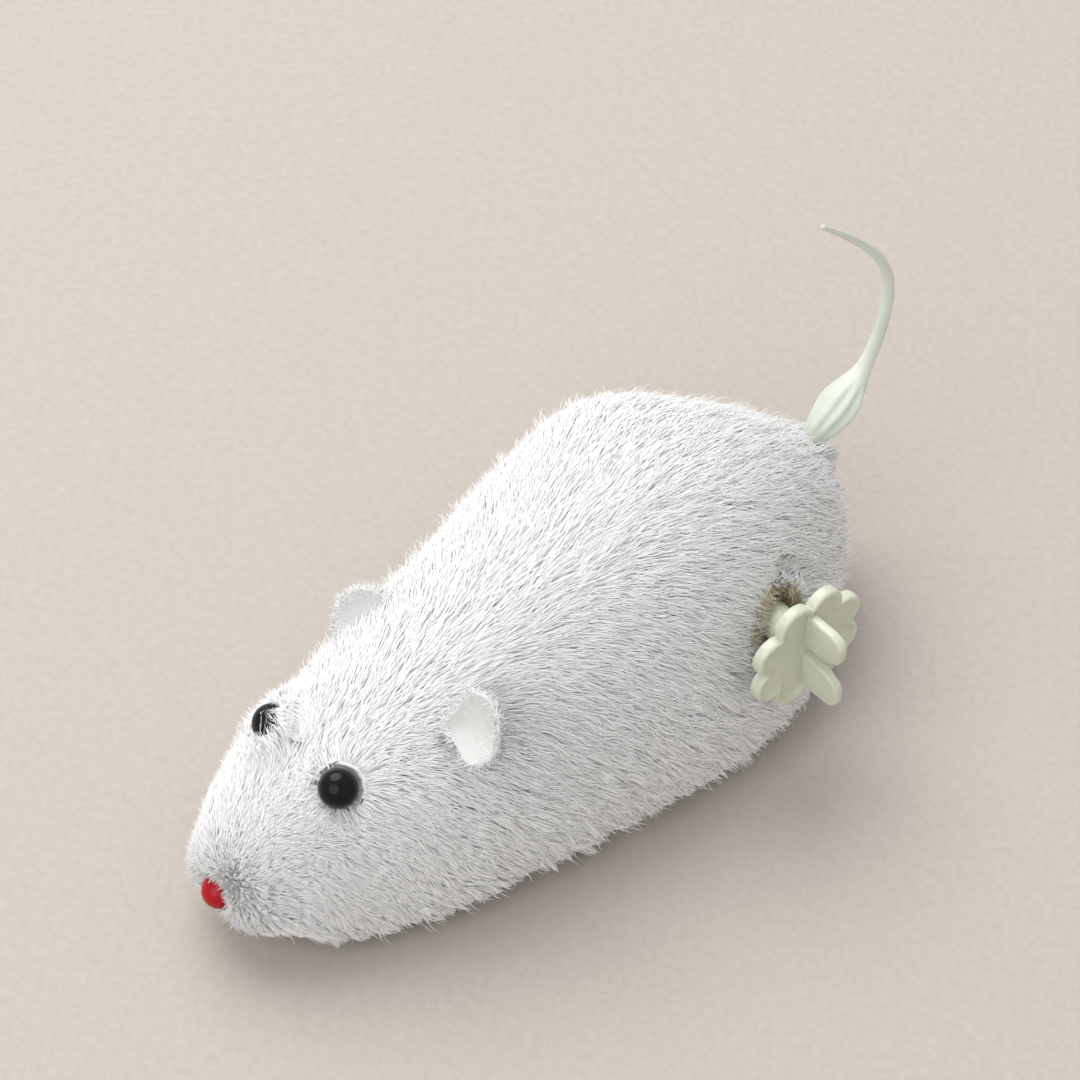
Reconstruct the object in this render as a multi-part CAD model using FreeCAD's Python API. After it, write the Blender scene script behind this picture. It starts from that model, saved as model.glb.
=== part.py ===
import FreeCAD, Part
import os
from math import atan2, cos, degrees, hypot, pi, radians, sin, sqrt, tan

# A plush wind-up mouse, in millimetres. The origin is on the ground under the middle of
# the body. +Z is up, the nose points to -Y, the tail to +Y, and the winding key is on +X,
# the mouse's own left side.

Vec = FreeCAD.Vector
X_AXIS = Vec(1, 0, 0)
Z_AXIS = Vec(0, 0, 1)
OUT = "parts"
os.makedirs(OUT, exist_ok=True)

# ---- driving dimensions -------------------------------------------------------------
BODY_LENGTH = 120.0          # nose tip of the fur to the rump
BODY_HALF_WIDTH = 28.4       # widest half width of the fur
BODY_TOP = 50.0              # highest point of the fur
HEM_LEVEL = 0.6              # lowest level that the hem's curve aims at
WIDEST_RISE = 6.2            # height of the widest level above the hem
SCALE_LEVEL = 6.0            # height that inner skins are scaled about
SECTION_POWER = 2.13         # superellipse exponent of the cross-sections
TURN_IN = radians(60)        # how far each section goes round under its widest level
PLUSH_THICKNESS = 4.0        # woven backing and the pile that stands on it
GLUE_GAP = 0.2               # glue line between plush and shell
SHELL_WALL = 1.2

CHASSIS_BOTTOM = 3.2
CHASSIS_TOP = 5.2
EDGE_GAP = 0.25              # between the chassis and the shell around it

DRIVE_RADIUS = 9.0           # over the tyre
DRIVE_AXLE = (18.0, DRIVE_RADIUS)      # y, z
ARBOR_AXIS = (28.0, 26.8)              # y, z of the winding arbor
AXLE_R = 1.0
ARBOR_R = 2.0
RUN_CLEARANCE = 0.05         # radial, in every running hole

MODULE = 0.5
GREAT_TEETH = 40
PINION_TEETH = 10
WHEEL_TEETH = 36

CASE_INNER = 8.0             # half distance between the motor plates
CASE_PLATE = 1.2

FORK_PIVOT_Y = -34.0
FORK_TRAIL = 3.0
FRONT_RADIUS = 4.2
FORK_LIMIT = 30.0            # degrees each way

# Stations along the fur: distance behind the nose, half width, top, bottom.
STATIONS = [
    (0.0, 4.6, 17.5, 8.0),
    (1.6, 7.2, 19.8, 6.2),
    (5.0, 10.9, 23.2, 3.6),
    (14.0, 16.4, 29.0, 1.0),
    (30.0, 22.4, 36.4, HEM_LEVEL),
    (48.0, 25.8, 42.6, HEM_LEVEL),
    (66.0, 27.8, 47.8, HEM_LEVEL),
    (84.0, BODY_HALF_WIDTH, BODY_TOP, HEM_LEVEL),
    (101.0, 22.9, 43.6, HEM_LEVEL),
    (112.5, 14.4, 34.6, 3.6),
    (117.5, 9.2, 29.2, 7.0),
    (BODY_LENGTH, 4.4, 24.6, 10.5),
]


# ---- helpers ------------------------------------------------------------------------
def save(name, shape):
    """Write one node."""
    shape.exportStep(f"{OUT}/{name}.step")
    solids = shape.Solids
    good = all(s.isValid() for s in solids)
    print(f"{name:20s} solids {len(solids)} volume {shape.Volume:10.2f} valid {good}")


def rod(radius, start, end):
    """A round bar between two points."""
    a, b = Vec(*start), Vec(*end)
    return Part.makeCylinder(radius, (b - a).Length, a, b - a)


def x_rod(radius, x0, x1, axis):
    """A round bar along X on an axis given as (y, z)."""
    return rod(radius, (x0, axis[0], axis[1]), (x1, axis[0], axis[1]))


def z_rod(radius, z0, z1, x, y):
    """A round bar along Z."""
    return rod(radius, (x, y, z0), (x, y, z1))


def box(x0, x1, y0, y1, z0, z1):
    return Part.makeBox(x1 - x0, y1 - y0, z1 - z0, Vec(x0, y0, z0))


def fuse(*shapes):
    out = shapes[0]
    for shape in shapes[1:]:
        out = out.fuse(shape)
    return out.removeSplitter()


def mirrored(shape):
    return shape.mirror(Vec(0, 0, 0), X_AXIS)


def plate_yz(points, x0, x1):
    """A plate in the YZ plane from a closed outline, between two x levels."""
    loop = [Vec(x0, y, z) for y, z in points]
    face = Part.Face(Part.makePolygon(loop + [loop[0]]))
    return face.extrude(Vec(x1 - x0, 0, 0))


def polar(centre, radius, angle):
    return (centre[0] + radius * cos(angle), centre[1] + radius * sin(angle))


# ---- the body's skins ---------------------------------------------------------------
def super_point(half, rise, angle):
    """A point of a superellipse quarter set, from its angle."""
    c, s = cos(angle), sin(angle)
    power = 2.0 / SECTION_POWER
    x = half * abs(c) ** power * (1 if c >= 0 else -1)
    z = rise * abs(s) ** power * (1 if s >= 0 else -1)
    return x, z


def section(station, inset, lift):
    """One closed cross-section of a skin that lies inset under the fur's surface.

    The sides turn in under the body to the hem, and lift raises the hem's level.
    """
    along, half, top, bottom = station
    y = (along - BODY_LENGTH / 2) * (1 - 2 * inset / BODY_LENGTH)
    half = half * (1 - inset / BODY_HALF_WIDTH)
    top = SCALE_LEVEL + (top - SCALE_LEVEL) * (1 - inset / (BODY_TOP - SCALE_LEVEL))
    widest = bottom + WIDEST_RISE * min(1.0, (top - bottom) / 24.0)
    bottom = bottom + lift
    steps = 24
    curve = []
    for i in range(steps + 1):
        angle = -TURN_IN + (pi + 2 * TURN_IN) * i / steps
        rise = top - widest if 0 <= angle <= pi else widest - bottom
        x, z = super_point(half, rise, angle)
        curve.append(Vec(x, y, widest + z))
    spline = Part.BSplineCurve()
    spline.interpolate(Points=curve)
    underside = Part.LineSegment(curve[-1], curve[0])
    return Part.Wire([spline.toShape(), underside.toShape()])


def body_form(inset, lift=0.0):
    return Part.makeLoft([section(s, inset, lift) for s in STATIONS], True, False)


SHELL_OUT = PLUSH_THICKNESS + GLUE_GAP
SHELL_IN = SHELL_OUT + SHELL_WALL
OPEN_BELOW = -1.5            # lift of a form that is cut out to leave the bottom open
shell_room = body_form(SHELL_IN, SHELL_WALL)
plush_room = body_form(PLUSH_THICKNESS)


# ---- gears --------------------------------------------------------------------------
PRESSURE = radians(20)
BACKLASH = 0.10


def gear_outline(teeth, centre, phase, addendum, dedendum):
    """Involute outline; phase is the angle at which a tooth's middle points."""
    pitch_r = MODULE * teeth / 2
    base_r = pitch_r * cos(PRESSURE)
    tip_r = pitch_r + addendum * MODULE
    root_r = pitch_r - dedendum * MODULE
    half_tooth = (pi * MODULE / 2 - BACKLASH) / (2 * pitch_r)
    involute_at_pitch = tan(PRESSURE) - PRESSURE
    flank = []
    flank_steps = 4
    start_r = max(base_r, root_r)
    for i in range(flank_steps + 1):
        r = start_r + (tip_r - start_r) * i / flank_steps
        a = sqrt(max(0.0, (r / base_r) ** 2 - 1))
        flank.append((r, half_tooth + involute_at_pitch - (a - atan2(a, 1))))
    root_angle = flank[0][1]
    points = []
    for k in range(teeth):
        middle = phase + 2 * pi * k / teeth
        points.append(polar(centre, root_r, middle - root_angle))
        for r, a in flank:
            points.append(polar(centre, r, middle - a))
        for r, a in reversed(flank):
            points.append(polar(centre, r, middle + a))
        points.append(polar(centre, root_r, middle + root_angle))
    return points


def gear(teeth, centre, phase, x0, x1, addendum=0.9, dedendum=1.2):
    return plate_yz(gear_outline(teeth, centre, phase, addendum, dedendum), x0, x1)


def mesh_phase(teeth, towards):
    """Phase that turns a space between two teeth towards an angle."""
    return towards + pi / teeth


GREAT_CENTRES = MODULE * (GREAT_TEETH + PINION_TEETH) / 2
WHEEL_CENTRES = MODULE * (WHEEL_TEETH + PINION_TEETH) / 2


def third_corner(a, b, from_a, from_b):
    """The point at two given distances from a and b, on the nose side."""
    dy, dz = b[0] - a[0], b[1] - a[1]
    span = hypot(dy, dz)
    along = (from_a ** 2 - from_b ** 2 + span ** 2) / (2 * span)
    off = sqrt(from_a ** 2 - along ** 2)
    return (a[0] + (dy * along + dz * off) / span, a[1] + (dz * along - dy * off) / span)


MIDDLE_AXIS = third_corner(ARBOR_AXIS, DRIVE_AXLE, GREAT_CENTRES, WHEEL_CENTRES)
arbor_to_middle = atan2(MIDDLE_AXIS[1] - ARBOR_AXIS[1], MIDDLE_AXIS[0] - ARBOR_AXIS[0])
middle_to_axle = atan2(DRIVE_AXLE[1] - MIDDLE_AXIS[1], DRIVE_AXLE[0] - MIDDLE_AXIS[0])

# ---- clockwork motor ----------------------------------------------------------------
GREAT_X = (-0.4, 1.6)
RATCHET_X = (1.9, 3.4)
SPRING_X = (-6.8, -1.2)
MIDDLE_PINION_X = (-0.9, 2.1)
MIDDLE_WHEEL_X = (4.2, 5.8)
AXLE_PINION_X = (3.6, 6.4)
SHAFT_R = 0.75
PILLAR_R = 1.4
PILLARS = [(4.5, 9.0), (35.5, 9.0), (17.0, 34.0), (40.3, 24.0)]
SPRING_PILLAR = PILLARS[3]
PILLAR_END_R = 0.9           # turned-down end in the plate
RIVET_HEAD = (1.5, 0.5)      # radius and height of the end once it is riveted over
PLATE_Y = (1.5, 38.5)
PLATE_TOP = ARBOR_AXIS[1] - 6.0
ARBOR_LOBE_R, MIDDLE_LOBE_R, PILLAR_LOBE_R = 11.2, 10.8, 2.4
FEET = [4.5, 29.1]           # y of the motor's screw feet
FOOT_X, FOOT_END, FOOT_HALF = 12.4, 14.6, 1.7
FOOT_TOP = CHASSIS_TOP + 1.4
RIB_THICK, RIB_REACH, RIB_HIGH = 0.8, 1.5, 0.8
MOTOR_SCREW_R, MOTOR_SCREW_HEAD = 0.9, (1.6, 1.2)
CASE_OUTER = CASE_INNER + CASE_PLATE


def motor_plate():
    """The plate on the key side, with its feet and all of its bearing holes."""
    x0, x1 = CASE_INNER, CASE_OUTER
    body = box(x0, x1, *PLATE_Y, CHASSIS_TOP, PLATE_TOP)
    body = fuse(body, x_rod(ARBOR_LOBE_R, x0, x1, ARBOR_AXIS),
                x_rod(MIDDLE_LOBE_R, x0, x1, MIDDLE_AXIS))
    for pillar in PILLARS:
        body = fuse(body, x_rod(PILLAR_LOBE_R, x0, x1, pillar))
    for y in FEET:
        body = fuse(body, box(x0, FOOT_END, y - FOOT_HALF, y + FOOT_HALF, CHASSIS_TOP, FOOT_TOP))
        gusset = [(x1, FOOT_TOP), (x1 + RIB_REACH, FOOT_TOP), (x1, FOOT_TOP + RIB_HIGH)]
        loop = [Vec(x, y + FOOT_HALF - RIB_THICK, z) for x, z in gusset]
        rib = Part.Face(Part.makePolygon(loop + [loop[0]])).extrude(Vec(0, RIB_THICK, 0))
        body = fuse(body, rib)
        body = body.cut(z_rod(MOTOR_SCREW_R + 0.15, CHASSIS_TOP - 1, FOOT_TOP + 1, FOOT_X, y))
    for radius, axis in ((ARBOR_R, ARBOR_AXIS), (SHAFT_R, MIDDLE_AXIS), (AXLE_R, DRIVE_AXLE)):
        body = body.cut(x_rod(radius + RUN_CLEARANCE, x0 - 1, x1 + 1, axis))
    for pillar in PILLARS:
        body = body.cut(x_rod(PILLAR_END_R, x0 - 1, x1 + 1, pillar))
    return body.removeSplitter()


def pillars():
    """Four spacer pillars, each with a turned-down end riveted over both plates."""
    posts = []
    head_r, head_high = RIVET_HEAD
    for pillar in PILLARS:
        post = x_rod(PILLAR_R, -CASE_INNER, CASE_INNER, pillar)
        post = fuse(post, x_rod(PILLAR_END_R, -CASE_OUTER, CASE_OUTER, pillar))
        for side in (-1, 1):
            head = x_rod(head_r, side * CASE_OUTER, side * (CASE_OUTER + head_high), pillar)
            post = fuse(post, head)
        posts.append(post)
    return Part.makeCompound(posts)


def motor_screws():
    """Four slotted screws down through the feet into the chassis."""
    screws = []
    head_r, head_high = MOTOR_SCREW_HEAD
    for side in (-1, 1):
        x = side * FOOT_X
        for y in FEET:
            shank = z_rod(MOTOR_SCREW_R, CHASSIS_BOTTOM + 0.4, FOOT_TOP, x, y)
            head = z_rod(head_r, FOOT_TOP, FOOT_TOP + head_high, x, y)
            slot = box(x - 2, x + 2, y - 0.25, y + 0.25,
                       FOOT_TOP + head_high / 2, FOOT_TOP + head_high + 0.1)
            screws.append(fuse(shank, head).cut(slot))
    return Part.makeCompound(screws)


def spiral_strip():
    """The mainspring: one long flat strip wound outwards from the arbor."""
    inner_r, outer_r = 2.45, 9.9
    turns = 6.0
    strip = 0.35
    towards = atan2(SPRING_PILLAR[1] - ARBOR_AXIS[1], SPRING_PILLAR[0] - ARBOR_AXIS[0])
    start = towards - 2 * pi * turns
    steps = int(turns * 20)

    def edge(offset):
        points = []
        for i in range(steps + 1):
            share = i / steps
            angle = start + 2 * pi * turns * share
            radius = inner_r + (outer_r - inner_r) * share + offset
            y, z = polar(ARBOR_AXIS, radius, angle)
            points.append(Vec(SPRING_X[0], y, z))
        curve = Part.BSplineCurve()
        curve.interpolate(Points=points)
        return curve.toShape(), points

    low, low_points = edge(-strip / 2)
    high, high_points = edge(strip / 2)
    ends = [Part.LineSegment(high_points[-1], low_points[-1]).toShape(),
            Part.LineSegment(low_points[0], high_points[0]).toShape()]
    face = Part.Face(Part.Wire(Part.__sortEdges__([low, high] + ends)))
    band = face.extrude(Vec(SPRING_X[1] - SPRING_X[0], 0, 0))
    reach = hypot(SPRING_PILLAR[0] - ARBOR_AXIS[0], SPRING_PILLAR[1] - ARBOR_AXIS[1])
    loop_r = reach - outer_r
    loop = x_rod(loop_r, *SPRING_X, SPRING_PILLAR)
    loop = loop.cut(x_rod(PILLAR_R + RUN_CLEARANCE, SPRING_X[0] - 1, SPRING_X[1] + 1, SPRING_PILLAR))
    return fuse(band, loop)


ARBOR_STEP_X = 20.0           # where the arbor steps down into the key's hub
ARBOR_END_R, COLLAR_R, HOOK_REACH = 1.6, 2.6, 2.18
ARBOR_FLAT = 1.0             # height of the driving flat over the arbor's axis


def arbor():
    """Winding arbor: journals, the spring's seat and a flatted end for the key."""
    bar = x_rod(ARBOR_R, -CASE_OUTER - 0.6, ARBOR_STEP_X, ARBOR_AXIS)
    bar = fuse(bar, x_rod(COLLAR_R, GREAT_X[0] - 0.7, GREAT_X[0] - 0.2, ARBOR_AXIS))
    bar = fuse(bar, x_rod(ARBOR_END_R, ARBOR_STEP_X, KEY_HUB_END - 0.6, ARBOR_AXIS))
    y, z = ARBOR_AXIS
    flat = box(ARBOR_STEP_X + 0.4, KEY_HUB_END, y - 2, y + 2, z + ARBOR_FLAT, z + 2)
    hook = box(SPRING_X[0] + 0.6, SPRING_X[1] - 0.6, y + 1.2, y + HOOK_REACH, z - 0.5, z + 0.5)
    return fuse(bar.cut(flat), hook)


def ratchet():
    """Ratchet wheel fixed on the arbor; it slips under the click while winding."""
    teeth, tip_r, root_r = 12, 6.0, 4.7
    points = []
    for k in range(teeth):
        a = 2 * pi * k / teeth
        points.append(polar(ARBOR_AXIS, tip_r, a))
        points.append(polar(ARBOR_AXIS, root_r, a + 0.06))
    wheel = plate_yz(points, *RATCHET_X)
    return wheel.cut(x_rod(ARBOR_R, RATCHET_X[0] - 1, RATCHET_X[1] + 1, ARBOR_AXIS))


CLICK_ANGLE = radians(40)    # where the click's rivet sits on the great gear
RIVET_CENTRE = polar(ARBOR_AXIS, 7.9, CLICK_ANGLE)


def great_gear():
    blank = gear(GREAT_TEETH, ARBOR_AXIS, arbor_to_middle, *GREAT_X)
    through = (GREAT_X[0] - 1, GREAT_X[1] + 1)
    blank = blank.cut(x_rod(ARBOR_R + RUN_CLEARANCE, *through, ARBOR_AXIS))
    blank = blank.cut(x_rod(0.6, *through, RIVET_CENTRE))
    for k in range(1, 5):
        hole = polar(ARBOR_AXIS, 6.2, CLICK_ANGLE + 2 * pi * k / 5)
        blank = blank.cut(x_rod(1.5, *through, hole))
    return blank


def click():
    """Springy click on the great gear's face, drawn lifted just clear of the ratchet."""
    x0, x1 = GREAT_X[1], RATCHET_X[1]
    eye = x_rod(1.3, x0, x1, RIVET_CENTRE)
    arm = [polar(ARBOR_AXIS, 8.9, CLICK_ANGLE), polar(ARBOR_AXIS, 8.1, CLICK_ANGLE + 0.5),
           polar(ARBOR_AXIS, 6.25, CLICK_ANGLE + 0.95), polar(ARBOR_AXIS, 6.9, CLICK_ANGLE + 0.45),
           polar(ARBOR_AXIS, 7.1, CLICK_ANGLE)]
    arm_plate = plate_yz(arm, x0 + 0.35, x1)
    return fuse(eye, arm_plate).cut(x_rod(0.6, x0 - 1, x1 + 1, RIVET_CENTRE))


def click_rivet():
    shank = x_rod(0.6, GREAT_X[0], RATCHET_X[1], RIVET_CENTRE)
    return fuse(shank, x_rod(1.0, RATCHET_X[1], RATCHET_X[1] + 0.4, RIVET_CENTRE))


def middle_gear():
    """Cluster of a pinion under the great gear and a wheel over the axle's pinion."""
    pinion_phase = mesh_phase(PINION_TEETH, arbor_to_middle + pi)
    pinion = gear(PINION_TEETH, MIDDLE_AXIS, pinion_phase, *MIDDLE_PINION_X)
    sleeve = x_rod(1.7, MIDDLE_PINION_X[1], MIDDLE_WHEEL_X[0], MIDDLE_AXIS)
    wheel = gear(WHEEL_TEETH, MIDDLE_AXIS, middle_to_axle, *MIDDLE_WHEEL_X)
    cluster = fuse(pinion, sleeve, wheel)
    return cluster.cut(x_rod(SHAFT_R, -3, 8, MIDDLE_AXIS))


def drive_pinion():
    phase = mesh_phase(PINION_TEETH, middle_to_axle + pi)
    pinion = gear(PINION_TEETH, DRIVE_AXLE, phase, *AXLE_PINION_X)
    return pinion.cut(x_rod(AXLE_R, 3, 7, DRIVE_AXLE))


# ---- drive wheels -------------------------------------------------------------------
WHEEL_X = (12.6, 16.8)
HUB_R = 7.2
RECESS_R, RECESS_DEEP = 6.0, 1.2
BOSS_R, BOSS_START = 2.4, CASE_OUTER + 0.25
WHEEL_HOLES, WHEEL_HOLE_R, WHEEL_HOLE_AT = 5, 0.9, 4.3
GROOVES, GROOVE_R = 20, 0.45


def drive_wheel():
    """Moulded wheel with five lightening holes and a boss that spaces it off the motor."""
    disc = x_rod(HUB_R, *WHEEL_X, DRIVE_AXLE)
    recess = x_rod(RECESS_R, WHEEL_X[1] - RECESS_DEEP, WHEEL_X[1] + 1, DRIVE_AXLE)
    disc = disc.cut(recess)
    disc = fuse(disc, x_rod(BOSS_R, BOSS_START, WHEEL_X[1], DRIVE_AXLE))
    for k in range(WHEEL_HOLES):
        hole = polar(DRIVE_AXLE, WHEEL_HOLE_AT, 2 * pi * k / WHEEL_HOLES)
        disc = disc.cut(x_rod(WHEEL_HOLE_R, WHEEL_X[0] - 1, WHEEL_X[1] + 1, hole))
    return disc.cut(x_rod(AXLE_R, CASE_OUTER, WHEEL_X[1] + 1, DRIVE_AXLE))


def tyre():
    """Rubber ring with shallow cross grooves for grip."""
    ring = x_rod(DRIVE_RADIUS, WHEEL_X[0] + 0.2, WHEEL_X[1] - 0.2, DRIVE_AXLE)
    ring = ring.cut(x_rod(HUB_R, WHEEL_X[0] - 1, WHEEL_X[1] + 1, DRIVE_AXLE))
    for k in range(GROOVES):
        centre = polar(DRIVE_AXLE, DRIVE_RADIUS + 0.15, 2 * pi * (k + 0.5) / GROOVES)
        ring = ring.cut(x_rod(GROOVE_R, WHEEL_X[0] - 1, WHEEL_X[1] + 1, centre))
    return ring


# ---- chassis and front caster -------------------------------------------------------
CUP_OUT, CUP_IN = 9.8, 8.6
CUP_ROOF = (11.2, 12.6)
BOSS_TOP, BOSS_OUT_R = 16.0, 3.8
WHEEL_WELL_X = (11.9, 17.6)
PIVOT_R = 2.0
PEG_R, PEG_PATH_R = 0.7, 5.6
CHASSIS_SCREWS = [(13.0, -18.0), (-13.0, -18.0), (11.7, 33.2), (-11.7, 33.2)]
CHASSIS_SCREW_R, CHASSIS_SCREW_HEAD = 1.0, (2.0, 0.9)
SCREW_SEAT = CHASSIS_BOTTOM + 1.0
SCREW_TIP = 12.0
POST_R = 2.1


def sector(radius, z0, z1, half_angle):
    """A slice of pie about the caster's pivot that opens towards the nose."""
    start = -90 - half_angle
    slice_ = Part.makeCylinder(radius, z1 - z0, Vec(0, 0, z0), Z_AXIS, 2 * half_angle)
    slice_.rotate(Vec(0, 0, 0), Z_AXIS, start)
    slice_.translate(Vec(0, FORK_PIVOT_Y, 0))
    return slice_


def chassis():
    slab = box(-60, 60, -70, 70, CHASSIS_BOTTOM, CHASSIS_TOP)
    plate = body_form(SHELL_IN + EDGE_GAP, SHELL_WALL + EDGE_GAP).common(slab)
    pivot = (0, FORK_PIVOT_Y)
    plate = fuse(plate, z_rod(CUP_OUT, CHASSIS_BOTTOM, CUP_ROOF[1], *pivot),
                 z_rod(BOSS_OUT_R, CUP_ROOF[0], BOSS_TOP, *pivot))
    plate = plate.cut(z_rod(CUP_IN, CHASSIS_BOTTOM - 1, CUP_ROOF[0], *pivot))
    plate = plate.cut(z_rod(PIVOT_R + RUN_CLEARANCE, CUP_ROOF[0] - 1, BOSS_TOP + 1, *pivot))
    peg_room = PEG_R + 0.15
    peg_angle = degrees(peg_room / PEG_PATH_R)
    slot = sector(PEG_PATH_R + peg_room, CUP_ROOF[0] - 1, CUP_ROOF[1] + 1,
                  FORK_LIMIT + peg_angle)
    slot = slot.cut(z_rod(PEG_PATH_R - peg_room, CUP_ROOF[0] - 2, CUP_ROOF[1] + 2, *pivot))
    plate = plate.cut(slot)
    well = DRIVE_RADIUS + 0.3
    for side in (-1, 1):
        x0, x1 = sorted(side * x for x in WHEEL_WELL_X)
        plate = plate.cut(box(x0, x1, DRIVE_AXLE[0] - well, DRIVE_AXLE[0] + well, 0, 9))
        for y in FEET:
            plate = plate.cut(z_rod(MOTOR_SCREW_R, CHASSIS_BOTTOM + 0.4, CHASSIS_TOP + 1,
                                    side * FOOT_X, y))
    for x, y in CHASSIS_SCREWS:
        plate = plate.cut(z_rod(CHASSIS_SCREW_R + 0.15, 0, 9, x, y))
        plate = plate.cut(z_rod(CHASSIS_SCREW_HEAD[0] + 0.1, CHASSIS_BOTTOM - 1, SCREW_SEAT, x, y))
    return plate.removeSplitter()


def chassis_screws():
    """Four cross-head screws up into the shell's posts."""
    screws = []
    head_r, head_high = CHASSIS_SCREW_HEAD
    cut_z = (SCREW_SEAT - 1.5, SCREW_SEAT - 0.4)
    long, thin = 1.3, 0.25
    for x, y in CHASSIS_SCREWS:
        shank = z_rod(CHASSIS_SCREW_R, SCREW_SEAT, SCREW_TIP, x, y)
        head = z_rod(head_r, SCREW_SEAT - head_high, SCREW_SEAT, x, y)
        cross = fuse(box(x - long, x + long, y - thin, y + thin, *cut_z),
                     box(x - thin, x + thin, y - long, y + long, *cut_z))
        screws.append(fuse(shank, head).cut(cross))
    return Part.makeCompound(screws)


FRONT_AXLE = (FORK_PIVOT_Y + FORK_TRAIL, FRONT_RADIUS)
ARM_X = (3.0, 4.3)
CROWN, CROWN_R = (8.9, 10.9), 5.6
ARM_EYE_R, FRONT_PIN_R = 1.86, 0.7
CLIP_Z = (BOSS_TOP + 0.1, BOSS_TOP + 0.9)


def front_fork():
    """Caster fork: crown, two arms, pivot pin and the peg that limits its swing."""
    crown = z_rod(CROWN_R, *CROWN, 0, FORK_PIVOT_Y)
    crown = crown.common(box(-ARM_X[1], ARM_X[1], FORK_PIVOT_Y - 9, FORK_PIVOT_Y + 9, *CROWN))
    body = fuse(crown, z_rod(PIVOT_R, CROWN[0], CLIP_Z[1] + 0.3, 0, FORK_PIVOT_Y))
    neck = box(-0.9, 0.9, FORK_PIVOT_Y - PEG_PATH_R - PEG_R, FORK_PIVOT_Y, *CROWN)
    peg = z_rod(PEG_R, CROWN[0], CUP_ROOF[1] - 0.2, 0, FORK_PIVOT_Y - PEG_PATH_R)
    body = fuse(body, neck, peg)
    y, z = FRONT_AXLE
    outline = [(y - CROWN_R, CROWN[1]), (y - 1.5, z - 1.1), (y + 1.5, z - 1.1), (y + 1.5, CROWN[1])]
    for side in (-1, 1):
        x0, x1 = sorted((side * ARM_X[0], side * ARM_X[1]))
        arm = fuse(plate_yz(outline, x0, x1), x_rod(ARM_EYE_R, x0, x1, FRONT_AXLE))
        body = fuse(body, arm)
    return body.cut(x_rod(FRONT_PIN_R, -6, 6, FRONT_AXLE))


def fork_clip():
    """Push-on ring that keeps the fork's pin in its boss."""
    ring_r, notch_at = 3.9, 2.3
    ring = z_rod(ring_r, *CLIP_Z, 0, FORK_PIVOT_Y)
    ring = ring.cut(z_rod(PIVOT_R, CLIP_Z[0] - 1, CLIP_Z[1] + 1, 0, FORK_PIVOT_Y))
    for k in range(4):
        a = radians(45 + 90 * k)
        notch = z_rod(0.6, CLIP_Z[0] - 1, CLIP_Z[1] + 1,
                      notch_at * cos(a), FORK_PIVOT_Y + notch_at * sin(a))
        ring = ring.cut(notch)
    return ring


def front_wheel():
    half = 2.6
    roller = x_rod(FRONT_RADIUS, -half, half, FRONT_AXLE)
    rim = [e for e in roller.Edges if e.Curve.TypeId == "Part::GeomCircle"]
    roller = roller.makeFillet(0.7, rim)
    return roller.cut(x_rod(FRONT_PIN_R + RUN_CLEARANCE, -4, 4, FRONT_AXLE))


# ---- shell and plush ----------------------------------------------------------------
KEY_HOLE_R = 4.6
EYE_R = 3.0
EYE_CENTRE = Vec(7.7, -42.7, 28.9)
EYE_AXIS = Vec(0.52, -0.42, 0.74)
NOSE_R = 2.65
NOSE_CENTRE = Vec(0, -59.2, 10.8)
STEM_R = 0.9
TAIL_ROOT = Vec(0, 48.5, 20.2)
TAIL_EXIT = Vec(0, 56.6, 27.0)
TAIL_STEM_R = 1.6


def bead(centre, axis, radius, stem):
    """A ball with a stem that runs into the body, against its axis."""
    axis = Vec(axis).normalize()
    shank = Part.makeCylinder(STEM_R, stem, centre - axis * stem, axis)
    return fuse(Part.makeSphere(radius, centre), shank)


eye_left = bead(EYE_CENTRE, EYE_AXIS, EYE_R, 9.5)
eye_right = mirrored(eye_left)
nose = bead(NOSE_CENTRE, Vec(0, -1, 0), NOSE_R, 9.0)

EAR_R = 5.5
EAR_FELT = 1.0
EAR_CENTRES = {"ear_left": Vec(16.8, -24.0, 36.4), "ear_right": Vec(-13.6, -21.2, 32.4)}
EAR_FACING = Vec(0.158, 0.853, -0.498).normalize() * -1
EAR_OUT = Vec(0.816, 0.173, 0.552).normalize()
EAR_CUP_R = 13.0
EAR_TAB_HALF = 2.2


def ear(name):
    """Round felt ear, cupped to the front, on a tab that is sewn into the plush."""
    centre = EAR_CENTRES[name]
    side = 1 if centre.x > 0 else -1
    facing = Vec(EAR_FACING.x * side, EAR_FACING.y, EAR_FACING.z)
    out = Vec(EAR_OUT.x * side, EAR_OUT.y, EAR_OUT.z)
    across = facing.cross(out)
    cup_centre = centre + facing * EAR_CUP_R
    cup = Part.makeSphere(EAR_CUP_R + EAR_FELT, cup_centre)
    cup = cup.cut(Part.makeSphere(EAR_CUP_R, cup_centre))
    disc = Part.makeCylinder(EAR_R, 6.0, centre - facing * 3.0, facing)
    corner = centre - out * 2.0 - facing * 3.0
    loop = [corner - across * EAR_TAB_HALF, corner + across * EAR_TAB_HALF]
    loop += [point - out * (EAR_R - 0.2) for point in reversed(loop)]
    tab = Part.Face(Part.makePolygon(loop + [loop[0]])).extrude(facing * 6.0)
    felt = cup.common(fuse(disc, tab)).removeSplitter().cut(plush_room)
    return max(felt.Solids, key=lambda solid: solid.Volume)


ears = {name: ear(name) for name in EAR_CENTRES}


def tail_section(centre, along, half_wide, half_thick):
    """One oval of the tail; its long way lies across the mouse."""
    frame = Part.Ellipse(Vec(0, 0, 0), half_wide, half_thick)
    wire = Part.Wire(frame.toShape())
    rise = Vec(along).normalize()
    across = X_AXIS
    third = rise.cross(across)
    turn = FreeCAD.Matrix(across.x, third.x, rise.x, centre.x,
                          across.y, third.y, rise.y, centre.y,
                          across.z, third.z, rise.z, centre.z, 0, 0, 0, 1)
    wire.transformShape(turn)
    return wire


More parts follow.
